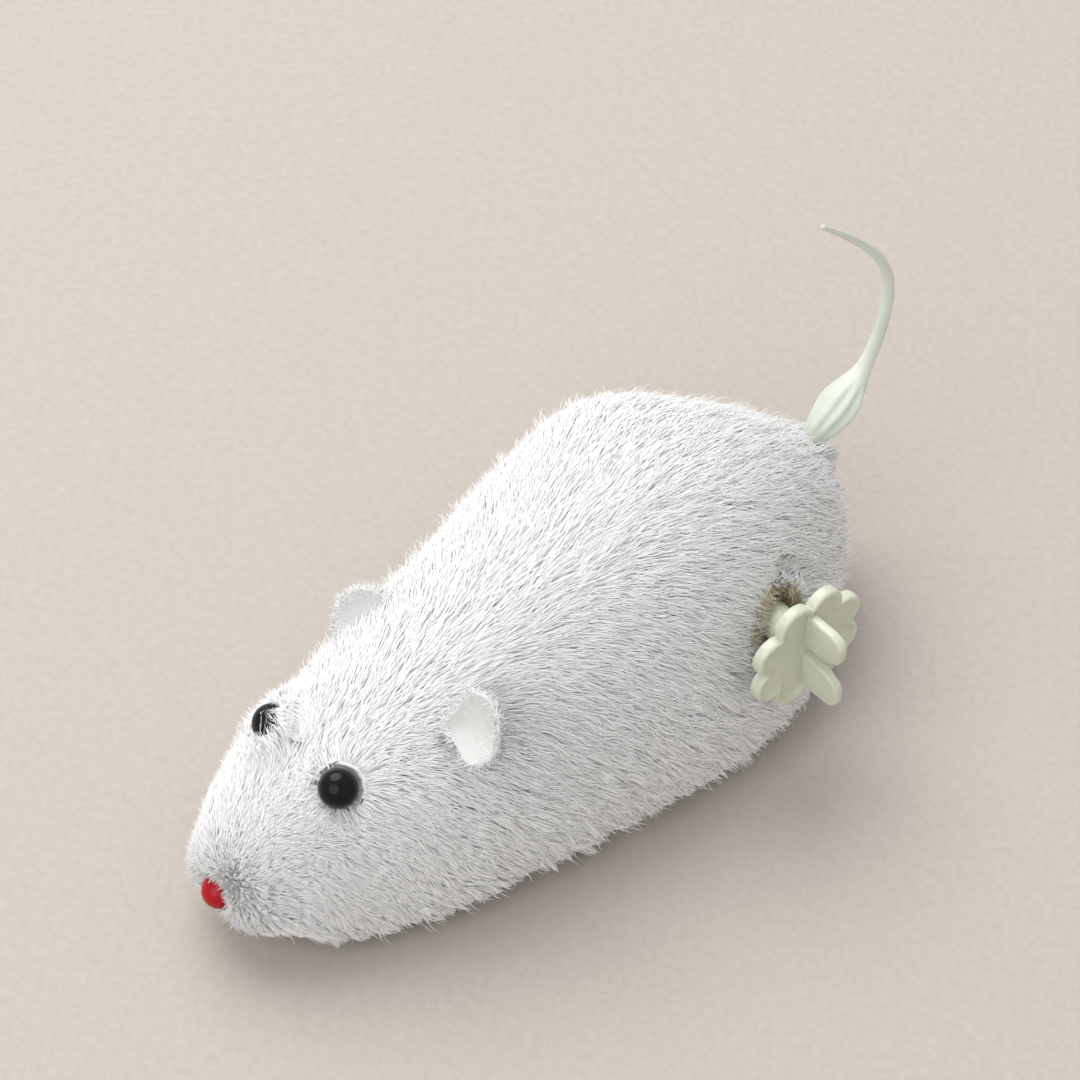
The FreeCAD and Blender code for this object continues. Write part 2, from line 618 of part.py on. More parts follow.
# Tail: place in the mid-plane (y, z), half width and half thickness.
TAIL_PATH = [
    ((56.6, 27.0), 1.65, 1.6),
    ((59.2, 29.4), 2.5, 2.1),
    ((62.2, 31.9), 3.1, 2.3),
    ((65.0, 34.2), 2.4, 1.9),
    ((67.4, 37.0), 1.35, 1.3),
    ((69.6, 41.8), 1.05, 1.0),
    ((70.9, 47.5), 0.98, 0.94),
    ((70.6, 54.0), 0.92, 0.88),
    ((67.6, 60.6), 0.85, 0.81),
    ((62.0, 67.3), 0.7, 0.66),
    ((54.6, 74.4), 0.45, 0.42),
]
TAIL_RINGS_PER_SPAN = 4


def tail():
    """Soft moulded tail: a barbed stem in the shell, a leaf-shaped base and a thin whip."""
    spine = Part.BSplineCurve()
    spine.interpolate(Points=[Vec(0, *place) for place, _, _ in TAIL_PATH])
    knots = [spine.parameter(Vec(0, *place)) for place, _, _ in TAIL_PATH]
    rings = []
    for i in range(len(TAIL_PATH) - 1):
        last = i == len(TAIL_PATH) - 2
        for j in range(TAIL_RINGS_PER_SPAN + (1 if last else 0)):
            share = j / TAIL_RINGS_PER_SPAN
            at = knots[i] + (knots[i + 1] - knots[i]) * share
            wide, thick = [a + (b - a) * share
                           for a, b in zip(TAIL_PATH[i][1:], TAIL_PATH[i + 1][1:])]
            rings.append(tail_section(spine.value(at), spine.tangent(at)[0], wide, thick))
    whip = Part.makeLoft(rings, True, True)
    stem = Part.makeCylinder(TAIL_STEM_R, (TAIL_EXIT - TAIL_ROOT).Length + 0.4, TAIL_ROOT,
                             TAIL_EXIT - TAIL_ROOT)
    barb = Part.makeCone(1.2, 2.5, 1.6, TAIL_ROOT, TAIL_EXIT - TAIL_ROOT)
    print("tail spine length", round(spine.length(), 1))
    return fuse(whip, stem, barb)


tail_shape = tail()
tail_bore = Part.makeCylinder(TAIL_STEM_R, 14, TAIL_ROOT, TAIL_EXIT - TAIL_ROOT)
through_parts = [eye_left, eye_right, nose]


def body_shell():
    """Moulded shell under the plush, with four screw posts."""
    outer = body_form(SHELL_OUT)
    walls = outer.cut(shell_room)
    for x, y in CHASSIS_SCREWS:
        post = z_rod(POST_R, CHASSIS_TOP, BODY_TOP, x, y).common(outer)
        walls = walls.fuse(post)
    for x, y in CHASSIS_SCREWS:
        walls = walls.cut(z_rod(CHASSIS_SCREW_R, CHASSIS_TOP - 1, SCREW_TIP + 1, x, y))
    walls = walls.common(box(-60, 60, -70, 70, CHASSIS_BOTTOM, 60))
    walls = walls.cut(x_rod(KEY_HOLE_R - 0.6, CASE_OUTER + 1, 40, ARBOR_AXIS))
    for stem in through_parts + [tail_bore]:
        walls = walls.cut(stem)
    return walls


def plush_cover():
    """Sewn plush skin: closed round the body, open underneath."""
    skin = body_form(0).cut(body_form(PLUSH_THICKNESS, OPEN_BELOW))
    skin = skin.cut(x_rod(KEY_HOLE_R, 5, 40, ARBOR_AXIS))
    for piece in through_parts + [*ears.values(), tail_shape]:
        skin = skin.cut(piece)
    return skin


# ---- winding key --------------------------------------------------------------------
KEY_HUB_START, KEY_HUB_R = 20.6, 2.8
KEY_DISC = (28.6, 30.0)
KEY_HUB_END = KEY_DISC[1]
PETALS = 8
PETAL_CENTRE_R, PETAL_R = 7.6, 3.2
LIP_HIGH, LIP_WIDE = 0.6, 0.9
FIN_REACH = 7.4
FIN_HALF, FIN_GAP = 7.6, 1.0
FIN_THICK = 1.6
FIN_CORNER_R = 1.2
BRIDGE_HIGH = 1.4


def winding_key():
    """Flower-shaped disc with a raised lip, a hub over the arbor and two finger wings."""
    x0, x1 = KEY_DISC
    centre = x_rod(PETAL_CENTRE_R + 0.6, x0, x1, ARBOR_AXIS)
    lip_room = x_rod(PETAL_CENTRE_R - 0.3, x1, x1 + 2, ARBOR_AXIS)
    flower = centre
    lip = None
    for k in range(PETALS):
        spot = polar(ARBOR_AXIS, PETAL_CENTRE_R, 2 * pi * (k + 0.5) / PETALS)
        petal = x_rod(PETAL_R, x0, x1, spot)
        flower = flower.fuse(petal)
        raised = x_rod(PETAL_R, x1, x1 + LIP_HIGH, spot)
        lip = raised if lip is None else lip.fuse(raised)
        lip_room = lip_room.fuse(x_rod(PETAL_R - LIP_WIDE, x1, x1 + 2, spot))
    flower = fuse(flower, lip.cut(lip_room))
    hub = x_rod(KEY_HUB_R, KEY_HUB_START, x0, ARBOR_AXIS)
    y, z = ARBOR_AXIS
    body = fuse(flower, hub)
    for side in (-1, 1):
        z0, z1 = sorted((z + side * FIN_GAP, z + side * FIN_HALF))
        fin = box(x1 - 0.2, x1 + FIN_REACH, y - FIN_THICK / 2, y + FIN_THICK / 2, z0, z1)
        tips = [e for e in fin.Edges if abs(e.BoundBox.XMin - (x1 + FIN_REACH)) < 0.01
                and e.BoundBox.YLength > 1 and e.BoundBox.ZLength < 0.1]
        fin = fin.makeFillet(FIN_CORNER_R, tips)
        body = fuse(body, fin)
    bridge = box(x1 - 0.2, x1 + BRIDGE_HIGH, y - FIN_THICK / 2, y + FIN_THICK / 2,
                 z - FIN_GAP, z + FIN_GAP)
    body = fuse(body, bridge)
    socket = x_rod(ARBOR_END_R, KEY_HUB_START - 1, KEY_HUB_END - 0.6, ARBOR_AXIS)
    flat = box(KEY_HUB_START - 2, KEY_HUB_END, y - 2, y + 2, z + ARBOR_FLAT, z + 2)
    return body.cut(socket.cut(flat))


# ---- write every node ---------------------------------------------------------------
save("plush_cover", plush_cover())
save("body_shell", body_shell())
save("chassis", chassis())
save("chassis_screws", chassis_screws())
save("motor_case_left", motor_plate())
save("motor_case_right", mirrored(motor_plate()))
save("case_pillars", pillars())
save("motor_screws", motor_screws())
save("mainspring", spiral_strip())
save("winding_arbor", arbor())
save("winding_key", winding_key())
save("ratchet_wheel", ratchet())
save("great_gear", great_gear())
save("click_pawl", click())
save("click_rivet", click_rivet())
save("middle_gear", middle_gear())
save("middle_shaft", x_rod(SHAFT_R, -CASE_OUTER, CASE_OUTER, MIDDLE_AXIS))
save("drive_pinion", drive_pinion())
save("drive_axle", x_rod(AXLE_R, -WHEEL_X[1] - 0.3, WHEEL_X[1] + 0.3, DRIVE_AXLE))
save("drive_wheel_left", drive_wheel())
save("drive_wheel_right", mirrored(drive_wheel()))
save("tyre_left", tyre())
save("tyre_right", mirrored(tyre()))
save("front_fork", front_fork())
save("fork_clip", fork_clip())
save("front_wheel", front_wheel())
save("front_axle", x_rod(FRONT_PIN_R, -ARM_X[1] - 0.3, ARM_X[1] + 0.3, FRONT_AXLE))
save("tail", tail_shape)
save("eye_left", eye_left)
save("eye_right", eye_right)
save("nose", nose)
for ear_name, ear_shape in ears.items():
    save(ear_name, ear_shape)
print("middle axis", [round(v, 4) for v in MIDDLE_AXIS])
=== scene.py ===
import math

import bmesh
import bpy
import numpy as np
from mathutils import Matrix, Vector, noise
from mathutils.bvhtree import BVHTree
from mathutils.kdtree import KDTree


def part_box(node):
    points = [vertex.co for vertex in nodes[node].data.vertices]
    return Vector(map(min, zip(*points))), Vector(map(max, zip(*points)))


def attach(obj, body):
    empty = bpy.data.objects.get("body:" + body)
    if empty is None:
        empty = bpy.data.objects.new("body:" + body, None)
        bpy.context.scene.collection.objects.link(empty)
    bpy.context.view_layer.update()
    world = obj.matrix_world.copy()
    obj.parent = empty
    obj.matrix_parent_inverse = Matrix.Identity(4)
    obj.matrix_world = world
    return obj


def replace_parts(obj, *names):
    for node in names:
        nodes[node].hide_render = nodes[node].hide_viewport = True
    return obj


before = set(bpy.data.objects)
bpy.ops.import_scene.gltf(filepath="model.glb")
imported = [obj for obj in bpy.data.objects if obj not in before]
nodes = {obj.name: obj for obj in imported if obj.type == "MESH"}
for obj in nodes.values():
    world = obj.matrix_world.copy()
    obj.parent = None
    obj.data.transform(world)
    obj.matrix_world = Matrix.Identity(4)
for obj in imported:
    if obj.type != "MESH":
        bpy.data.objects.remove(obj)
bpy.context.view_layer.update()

# The plush clockwork mouse. Fur, felt ears, a vinyl tail and a moulded key are built here
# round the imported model, whose eyes, nose, shell, chassis, wheels and motor are kept.
# The head points along -Y and the key is on the left flank, +X. Sizes are in millimetres,
# and MM turns them into metres.

MM = 0.001
SEED = 11
rng = np.random.default_rng(SEED)
noise.seed_set(SEED)
scene = bpy.context.scene


# ---- places read from the model -----------------------------------------------------
def middle(node):
    low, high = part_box(node)
    return (low + high) / 2 / MM


ARBOR, KEY_AXIS = middle("ratchet_wheel"), (1, 0, 0)
KEY_LOW, KEY_HIGH = (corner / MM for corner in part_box("winding_key"))
EYE_R, NOSE_R = 3.0, 2.65
EYES = [Vector((7.7, -42.7, 28.9)), Vector((-7.7, -42.7, 28.9))]
EYE_AXES = [Vector((side * 0.52, -0.42, 0.74)).normalized() for side in (1, -1)]
RIGHT_EYE, RIGHT_EYE_AXIS = EYES[1], EYE_AXES[1]
NOSE, NOSE_AXIS = Vector((0.0, -59.2, 10.8)), (0, 1, 0)
TAIL_EXIT, TAIL_AXIS = (0.0, 56.6, 27.0), Vector((0.0, 8.1, 6.8)).normalized()


# ---- materials ----------------------------------------------------------------------
def shader(name, colour, roughness, **values):
    """A node material with a Principled shader; values are its sockets by name."""
    mat = bpy.data.materials.new(name)
    mat.use_nodes = True
    tree = mat.node_tree
    body = tree.nodes["Principled BSDF"]
    body.inputs["Base Color"].default_value = (*colour, 1)
    body.inputs["Roughness"].default_value = roughness
    for key, value in values.items():
        body.inputs[key.replace("_", " ")].default_value = value
    return mat, tree, body


def link(tree, a, b):
    tree.links.new(a, b)


def noise_node(tree, scale, detail=3.0, roughness=0.55, vector=None):
    node = tree.nodes.new("ShaderNodeTexNoise")
    node.inputs["Scale"].default_value = scale
    node.inputs["Detail"].default_value = detail
    node.inputs["Roughness"].default_value = roughness
    if vector is None:
        vector = tree.nodes.new("ShaderNodeTexCoord").outputs["Object"]
    link(tree, vector, node.inputs["Vector"])
    return node


def ramp_between(tree, factor, low, high, start=0.3, end=0.7):
    ramp = tree.nodes.new("ShaderNodeValToRGB")
    ramp.color_ramp.elements[0].position = start
    ramp.color_ramp.elements[1].position = end
    ramp.color_ramp.elements[0].color = (*low, 1)
    ramp.color_ramp.elements[1].color = (*high, 1)
    link(tree, factor, ramp.inputs["Fac"])
    return ramp.outputs["Color"]


def remap(tree, value, low, high):
    node = tree.nodes.new("ShaderNodeMapRange")
    node.inputs["To Min"].default_value = low
    node.inputs["To Max"].default_value = high
    link(tree, value, node.inputs["Value"])
    return node.outputs["Result"]


def bump(tree, body, height, strength, distance):
    node = tree.nodes.new("ShaderNodeBump")
    node.inputs["Strength"].default_value = strength
    node.inputs["Distance"].default_value = distance * MM
    link(tree, height, node.inputs["Height"])
    link(tree, node.outputs["Normal"], body.inputs["Normal"])


def moulded(name, low, high, rough=(0.35, 0.5), grain=900, relief=0.05, **values):
    """Moulded plastic or vinyl: faint colour drift, uneven gloss and a fine grain."""
    mat, tree, body = shader(name, high, rough[0], **values)
    drift = noise_node(tree, 120)
    link(tree, ramp_between(tree, drift.outputs["Fac"], low, high), body.inputs["Base Color"])
    fine = noise_node(tree, grain, 4)
    link(tree, remap(tree, fine.outputs["Fac"], *rough), body.inputs["Roughness"])
    bump(tree, body, fine.outputs["Fac"], 0.3, relief)
    return mat


def metal(name, low, high, rough, stretch=(30, 1500, 1500)):
    """Drawn or rolled metal, with fine lines along one way."""
    mat, tree, body = shader(name, high, rough[0], Metallic=1.0)
    place = tree.nodes.new("ShaderNodeTexCoord").outputs["Object"]
    mapping = tree.nodes.new("ShaderNodeMapping")
    mapping.inputs["Scale"].default_value = stretch
    link(tree, place, mapping.inputs["Vector"])
    lines = noise_node(tree, 1.0, 3, 0.6, mapping.outputs["Vector"])
    link(tree, ramp_between(tree, lines.outputs["Fac"], low, high), body.inputs["Base Color"])
    link(tree, remap(tree, lines.outputs["Fac"], *rough), body.inputs["Roughness"])
    bump(tree, body, lines.outputs["Fac"], 0.15, 0.02)
    return mat


def cloth(name, low, high, weave, relief, rough=0.9, **values):
    """Felt or knitted backing: matted fibres in two sizes."""
    mat, tree, body = shader(name, high, rough, **values)
    fibres = noise_node(tree, weave, 6, 0.7)
    patches = noise_node(tree, weave / 12, 3)
    both = tree.nodes.new("ShaderNodeMath")
    both.operation = "ADD"
    link(tree, fibres.outputs["Fac"], both.inputs[0])
    link(tree, patches.outputs["Fac"], both.inputs[1])
    link(tree, ramp_between(tree, both.outputs[0], low, high, 0.6, 1.3), body.inputs["Base Color"])
    bump(tree, body, fibres.outputs["Fac"], 0.6, relief)
    return mat


def fibre(name, colour, roughness, sheen):
    """One tint of pile, with gloss that is uneven along and between the strands."""
    mat, tree, body = shader(name, colour, roughness, Sheen_Weight=sheen)
    gloss = noise_node(tree, 900, 2)
    link(tree, remap(tree, gloss.outputs["Fac"], 0.2, 0.8), body.inputs["Specular IOR Level"])
    return mat


fur_tints = [
    fibre("fur_white", (0.985, 0.985, 0.985), 0.8, 0.5),
    fibre("fur_pale", (0.955, 0.955, 0.955), 0.85, 0.5),
    fibre("fur_cool", (0.965, 0.97, 0.98), 0.75, 0.5),
]
tan_fibre = [
    fibre("cut_fibre_tan", (0.50, 0.40, 0.27), 0.8, 0.2),
    fibre("cut_fibre_straw", (0.74, 0.68, 0.54), 0.8, 0.2),
]
felt_white = cloth("felt_white", (0.52, 0.52, 0.515), (0.62, 0.62, 0.615), 1100, 0.2,
                   Sheen_Weight=0.2)
cream = moulded("cream_plastic", (0.55, 0.58, 0.46), (0.62, 0.65, 0.53), (0.24, 0.36), 500, 0.04,
                Subsurface_Weight=0.12, Subsurface_Scale=0.001)
vinyl = moulded("clear_vinyl", (0.60, 0.66, 0.58), (0.69, 0.74, 0.66), (0.22, 0.38), 700, 0.04,
                Subsurface_Weight=0.3, Subsurface_Scale=0.0008)

CAD_FINISH = {
    "plush_cover": felt_white,
    "body_shell": moulded("shell_plastic", (0.70, 0.70, 0.68), (0.80, 0.80, 0.77), (0.4, 0.6)),
    "chassis": moulded("chassis_plastic", (0.62, 0.63, 0.60), (0.72, 0.72, 0.69), (0.35, 0.55)),
    "eye": moulded("bead_black", (0.003, 0.003, 0.003), (0.006, 0.006, 0.007), (0.14, 0.20),
                   300, 0.01, Specular_IOR_Level=0.2),
    "nose": moulded("bead_red", (0.34, 0.002, 0.008), (0.44, 0.004, 0.014), (0.22, 0.30),
                    300, 0.01, Specular_IOR_Level=0.25),
    "motor": moulded("motor_plastic", (0.75, 0.74, 0.66), (0.83, 0.82, 0.74), (0.35, 0.5)),
    "gear": moulded("gear_nylon", (0.80, 0.79, 0.72), (0.88, 0.87, 0.80), (0.3, 0.45)),
    "wheel": moulded("wheel_plastic", (0.82, 0.82, 0.80), (0.90, 0.90, 0.88), (0.3, 0.45)),
    "tyre": moulded("tyre_rubber", (0.020, 0.020, 0.022), (0.035, 0.035, 0.036), (0.6, 0.85),
                    1200, 0.1),
    "zinc": metal("zinc_plate", (0.62, 0.63, 0.62), (0.76, 0.76, 0.74), (0.25, 0.42)),
    "steel": metal("plain_steel", (0.50, 0.50, 0.51), (0.66, 0.66, 0.67), (0.22, 0.4)),
    "spring": metal("blued_spring", (0.16, 0.18, 0.24), (0.30, 0.32, 0.38), (0.25, 0.45)),
    "key": cream,
    "tail": vinyl,
}
NODE_FINISH = {
    "plush_cover": "plush_cover", "ear_left": "plush_cover", "ear_right": "plush_cover",
    "body_shell": "body_shell", "chassis": "chassis", "front_fork": "chassis",
    "chassis_screws": "zinc", "motor_screws": "zinc", "fork_clip": "zinc",
    "motor_case_left": "motor", "motor_case_right": "motor", "case_pillars": "steel",
    "winding_arbor": "steel", "ratchet_wheel": "steel", "click_pawl": "steel",
    "click_rivet": "steel", "middle_shaft": "steel", "drive_axle": "steel",
    "front_axle": "steel", "mainspring": "spring", "great_gear": "steel",
    "middle_gear": "gear", "drive_pinion": "gear", "winding_key": "key", "tail": "tail",
    "drive_wheel_left": "wheel", "drive_wheel_right": "wheel", "front_wheel": "wheel",
    "tyre_left": "tyre", "tyre_right": "tyre", "eye_left": "eye", "eye_right": "eye",
    "nose": "nose",
}
for name, finish in NODE_FINISH.items():
    node = nodes[name]
    node.data.materials.clear()
    node.data.materials.append(CAD_FINISH[finish])


# ---- mesh helpers -------------------------------------------------------------------
def add_object(name, mesh, body):
    piece = bpy.data.objects.new(name, mesh)
    scene.collection.objects.link(piece)
    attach(piece, body)
    return piece


def mesh_of(name, points, faces, materials, smooth=True):
    """A mesh from points in millimetres and faces of any size."""
    mesh = bpy.data.meshes.new(name)
    mesh.from_pydata([tuple(np.asarray(p) * MM) for p in points], [], faces)
    for mat in materials:
        mesh.materials.append(mat)
    mesh.polygons.foreach_set("use_smooth", [smooth] * len(mesh.polygons))
    mesh.update()
    return mesh


def unit(v):
    return v / np.maximum(np.linalg.norm(v, axis=-1, keepdims=True), 1e-9)


def smooth_step(value, start, end):
    """0 at start, 1 at end, smooth between, for start above or below end."""
    t = np.clip((value - start) / (end - start), 0, 1)
    return t * t * (3 - 2 * t)


def distance(points, centre):
    return np.linalg.norm(points - np.array(centre), axis=1)


def off_axis(points, centre, axis):
    """Vectors from an axis line out to the points, square to the axis."""
    arm = points - np.array(centre)
    axis = np.array(axis)
    return arm - (arm @ axis)[:, None] * axis


def axis_distance(points, centre, axis):
    return np.linalg.norm(off_axis(points, centre, axis), axis=1)


def capped_rings(rows, around):
    """Faces over rows of points, with one point before them and one after as the end caps."""
    base, last = 1 + (rows - 1) * around, 1 + rows * around
    faces = []
    for k in range(around):
        n = (k + 1) % around
        faces.append((0, 1 + k, 1 + n))
        for a in range(1, base, around):
            b = a + around
            faces.append((a + k, b + k, b + n, a + n))
        faces.append((base + k, last, base + n))
    return faces


def flow_noise(points, size, offset):
    """Smooth random vectors that change over about size millimetres."""
    shift = Vector((offset, -offset, offset * 2))
    return np.array([noise.noise_vector(Vector(p) / size + shift) for p in points])


# ---- plush skin under the fur -------------------------------------------------------
SKIN_VOXEL = 0.68
SPINE_Y = 42.0
FACE_DEPTH, BODY_DEPTH = 1.2, 2.3


def spine_point(points):
    """The nearest point of a line through the body's middle."""
    y = np.clip(points[:, 1], -SPINE_Y, SPINE_Y)
    return np.stack([np.zeros_like(y), y, 15 + 0.06 * (y + SPINE_Y)], axis=1)


def fur_depth(points):
    """How deep the pile is: short on the face, longer on the body."""
    return FACE_DEPTH + (BODY_DEPTH - FACE_DEPTH) * smooth_step(points[:, 1], -50, -12)


REAR_SLACK, NECK_SLACK = 0.9, 1.9
PUFF_AT, PUFF_R, PUFF_HIGH = (-18.6, 26.0, 40.3), 17.0, 2.0


def slack(points):
    """How far the fur's surface lies inside the plush solid's, less where it puffs out."""
    rear = smooth_step(points[:, 1], 5, 40) * smooth_step(points[:, 2], 14, 30)
    neck = smooth_step(points[:, 1], -44, -30) * smooth_step(points[:, 1], 14, -6)
    neck = neck * smooth_step(points[:, 0], -2, -12) * smooth_step(points[:, 2], 10, 22)
    bulge = smooth_step(distance(points, PUFF_AT), PUFF_R, 0)
    return REAR_SLACK * rear + NECK_SLACK * neck - PUFF_HIGH * bulge


# where the pile is parted: place, radius free of strands, and extra depth of the skin
GAPS = [(Vector((13.9, -26.6, 33.4)), 1.05, 1.0), (Vector((13.3, -26.4, 32.2)), 1.25, 3.0),
        (Vector((-2.7, -56.7, 21.0)), 0.42, 1.0)]


def pits(points):
    """Extra depth of the skin in the partings, at the left ear's root and on the snout."""
    depth = np.zeros(len(points))
    for centre, radius, deep in GAPS:
        depth += deep * smooth_step(distance(points, centre), 2.2 * radius, 0.4 * radius)
    return depth


def make_skin():
    """The plush solid's surface, remeshed and drawn in by the depth of the pile."""
    source = nodes["plush_cover"].data.copy()
    raw = bpy.data.objects.new("plush_raw", source)
    scene.collection.objects.link(raw)
    remesh = raw.modifiers.new("remesh", "REMESH")
    remesh.mode = "VOXEL"
    remesh.voxel_size = SKIN_VOXEL * MM
    soften = raw.modifiers.new("soften", "SMOOTH")
    soften.iterations = 3
    graph = bpy.context.evaluated_depsgraph_get()
    mesh = bpy.data.meshes.new_from_object(raw.evaluated_get(graph))
    bpy.data.objects.remove(raw)
    bpy.data.meshes.remove(source)
    mesh.name = "plush_skin"
    count = len(mesh.vertices)
    co = np.empty(count * 3)
    mesh.vertices.foreach_get("co", co)
    co = co.reshape(-1, 3) / MM
    normals = np.array([v.normal for v in mesh.vertices])
    outward = np.sum(normals * unit(co - spine_point(co)), axis=1)
    sink = (fur_depth(co) + slack(co) + pits(co)) * smooth_step(outward, -0.1, 0.35)
    co -= normals * sink[:, None]
    mesh.vertices.foreach_set("co", (co * MM).ravel())
    mesh.materials.clear()
    mesh.materials.append(skin_cloth())
    mesh.polygons.foreach_set("use_smooth", [True] * len(mesh.polygons))
    mesh.update()
    piece = add_object("plush_skin", mesh, "housing")
    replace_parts(piece, "plush_cover")
    return piece


HOLE_X, HOLE_TAN = 24.0, (6.2, 7.2)      # the key's hole, and where its tan edge fades out


def skin_cloth():
    """White knitted backing, tan where it is cut round the key's hole."""
    mat, tree, body = shader("plush_backing", (0.9, 0.9, 0.9), 0.9, Sheen_Weight=0.3)
    place = tree.nodes.new("ShaderNodeTexCoord").outputs["Object"]
    knit = noise_node(tree, 1400, 5, 0.7, place)
    white = ramp_between(tree, knit.outputs["Fac"], (0.90, 0.90, 0.90), (0.96, 0.96, 0.96))
    tan = ramp_between(tree, knit.outputs["Fac"], (0.42, 0.34, 0.22), (0.68, 0.60, 0.44))
    gap = tree.nodes.new("ShaderNodeVectorMath")
    gap.operation = "DISTANCE"
    gap.inputs[1].default_value = (HOLE_X * MM, ARBOR[1] * MM, ARBOR[2] * MM)
    link(tree, place, gap.inputs[0])
    near = tree.nodes.new("ShaderNodeMapRange")
    near.inputs["From Min"].default_value = HOLE_TAN[0] * MM
    near.inputs["From Max"].default_value = HOLE_TAN[1] * MM
    link(tree, gap.outputs["Value"], near.inputs["Value"])
    mix = tree.nodes.new("ShaderNodeMix")
    mix.data_type = "RGBA"
    link(tree, near.outputs["Result"], mix.inputs["Factor"])
    link(tree, tan, mix.inputs["A"])
    link(tree, white, mix.inputs["B"])
    link(tree, mix.outputs["Result"], body.inputs["Base Color"])
    bump(tree, body, knit.outputs["Fac"], 0.6, 0.15)
    return mat


skin = make_skin()


# ---- strands ------------------------------------------------------------------------
RINGS = np.array([0.0, 0.34, 0.7, 1.0])      # places along a strand
RING_WIDTH = np.array([0.75, 1.0, 0.72])
CORNERS = 3
POINTS_EACH = CORNERS * 3 + 1


def strand_faces(count):
    """Triangles of count closed, three-sided, tapered strands."""
    one = [(0, 1, 2)]
    for ring in (0, 1):
        for i in range(CORNERS):
            j = (i + 1) % CORNERS
            a, b = ring * CORNERS + i, ring * CORNERS + j
            one += [(a, a + CORNERS, b + CORNERS), (a, b + CORNERS, b)]
    tip = CORNERS * 3
    for i in range(CORNERS):
        one.append((2 * CORNERS + i, tip, 2 * CORNERS + (i + 1) % CORNERS))
    one = np.array(one)
    return (one[None] + (np.arange(count) * POINTS_EACH)[:, None, None]).reshape(-1, 3), len(one)


STRAND_CORNERS = ((-1, -0.35), (1, -0.35), (0, 0.7))      # aside and above a strand's line


def strand_mesh(name, paths, ups, widths, tints, materials):
    """A mesh of strands. paths is (n, 4, 3) in millimetres, ups the skin's normals and
    widths half a strand's width. Its shading leans to the skin's, so the pile looks soft."""
    count = len(paths)
    steps = np.empty_like(paths)
    steps[:, :-1] = paths[:, 1:] - paths[:, :-1]
    steps[:, -1] = steps[:, -2]
    steps[:, 1:-1] += paths[:, 1:-1] - paths[:, :-2]
    along = unit(steps)
    side = unit(np.cross(along, ups[:, None]))
    top = np.cross(side, along)
    co = np.empty((count, POINTS_EACH, 3))
    normals = np.empty_like(co)
    for ring in range(3):
        half = widths * RING_WIDTH[ring]
        centre = paths[:, ring]
        s, u = side[:, ring], top[:, ring]
        for corner, (a, b) in enumerate(STRAND_CORNERS):
            offset = s * a + u * b
            co[:, ring * CORNERS + corner] = centre + offset * half[:, None]
            normals[:, ring * CORNERS + corner] = offset
    co[:, -1] = paths[:, 3]
    normals[:, -1] = along[:, 3]
    own = 0.22 + 0.25 * smooth_step(ups[:, 2], 0.7, 0.1)
    normals = unit(own[:, None, None] * unit(normals) + 0.85 * ups[:, None])
    faces, each = strand_faces(count)
    mesh = bpy.data.meshes.new(name)
    mesh.vertices.add(count * POINTS_EACH)
    mesh.vertices.foreach_set("co", (co * MM).astype(np.float32).ravel())
    mesh.loops.add(faces.size)
    mesh.loops.foreach_set("vertex_index", faces.astype(np.int32).ravel())
    mesh.polygons.add(len(faces))
    mesh.polygons.foreach_set("loop_start", np.arange(0, faces.size, 3, dtype=np.int32))
    for mat in materials:
        mesh.materials.append(mat)
    mesh.polygons.foreach_set("material_index", np.repeat(tints, each).astype(np.int32))
    mesh.polygons.foreach_set("use_smooth", np.ones(len(faces), dtype=bool))
    mesh.update()
    mesh.normals_split_custom_set_from_vertices(normals.reshape(-1, 3).tolist())
    return mesh


def skin_triangles():
    """The skin's triangles as points and smooth normals at their corners."""
    mesh = skin.data
    mesh.calc_loop_triangles()
    tri = np.empty(len(mesh.loop_triangles) * 3, dtype=np.int32)
    mesh.loop_triangles.foreach_get("vertices", tri)
    tri = tri.reshape(-1, 3)
    co = np.empty(len(mesh.vertices) * 3)
    mesh.vertices.foreach_get("co", co)
    co = co.reshape(-1, 3) / MM
    normals = np.array([v.normal for v in mesh.vertices])
    return co, normals, tri


skin_co, skin_normals, skin_tri = skin_triangles()
skin_tree = BVHTree.FromPolygons([Vector(c) for c in skin_co], skin_tri.tolist())


def scatter(total):
    """Random roots on the outside of the skin, thicker on the face and at the hem."""
    a, b, c = (skin_co[skin_tri[:, k]] for k in range(3))
    middle_of = (a + b + c) / 3
    face_normal = np.cross(b - a, c - a)
    area = np.linalg.norm(face_normal, axis=1) / 2
    face_normal = unit(face_normal)
    out = np.sum(face_normal * unit(middle_of - spine_point(middle_of)), axis=1)
    keep = (out > 0.35) & (face_normal[:, 2] > -0.7)
    crowd = 1 + 0.9 * smooth_step(middle_of[:, 1], -30, -52)
    crowd += 0.5 * smooth_step(middle_of[:, 2], 9, 4)
    for centre in (RIGHT_EYE, NOSE):
        crowd += 4.0 * smooth_step(distance(middle_of, centre), 8.5, 5.5)
    weight = area * crowd * keep
    pick = rng.choice(len(weight), size=total, p=weight / weight.sum())
    u, v = rng.random((2, total))
    flip = u + v > 1
    u[flip], v[flip] = 1 - u[flip], 1 - v[flip]
    w = 1 - u - v
    corners = skin_tri[pick]
    roots = sum(skin_co[corners[:, k]] * s[:, None] for k, s in enumerate((w, u, v)))
    normals = sum(skin_normals[corners[:, k]] * s[:, None] for k, s in enumerate((w, u, v)))
    return roots, unit(normals)


def hem_share(roots):
    """1 at the ragged lower edge and 0 above it."""
    return smooth_step(roots[:, 2], 13, 4)


# Ways from a bead's centre: the side that fur stands up over, and the side of the eye's open slit.
OVER_EYE = Vector((0.80, -0.56, 0.21))
SLIT_WAY = Vector((-0.65, -0.76, -0.02))
OVER_NOSE = Vector((0.62, 0.0, 0.784))


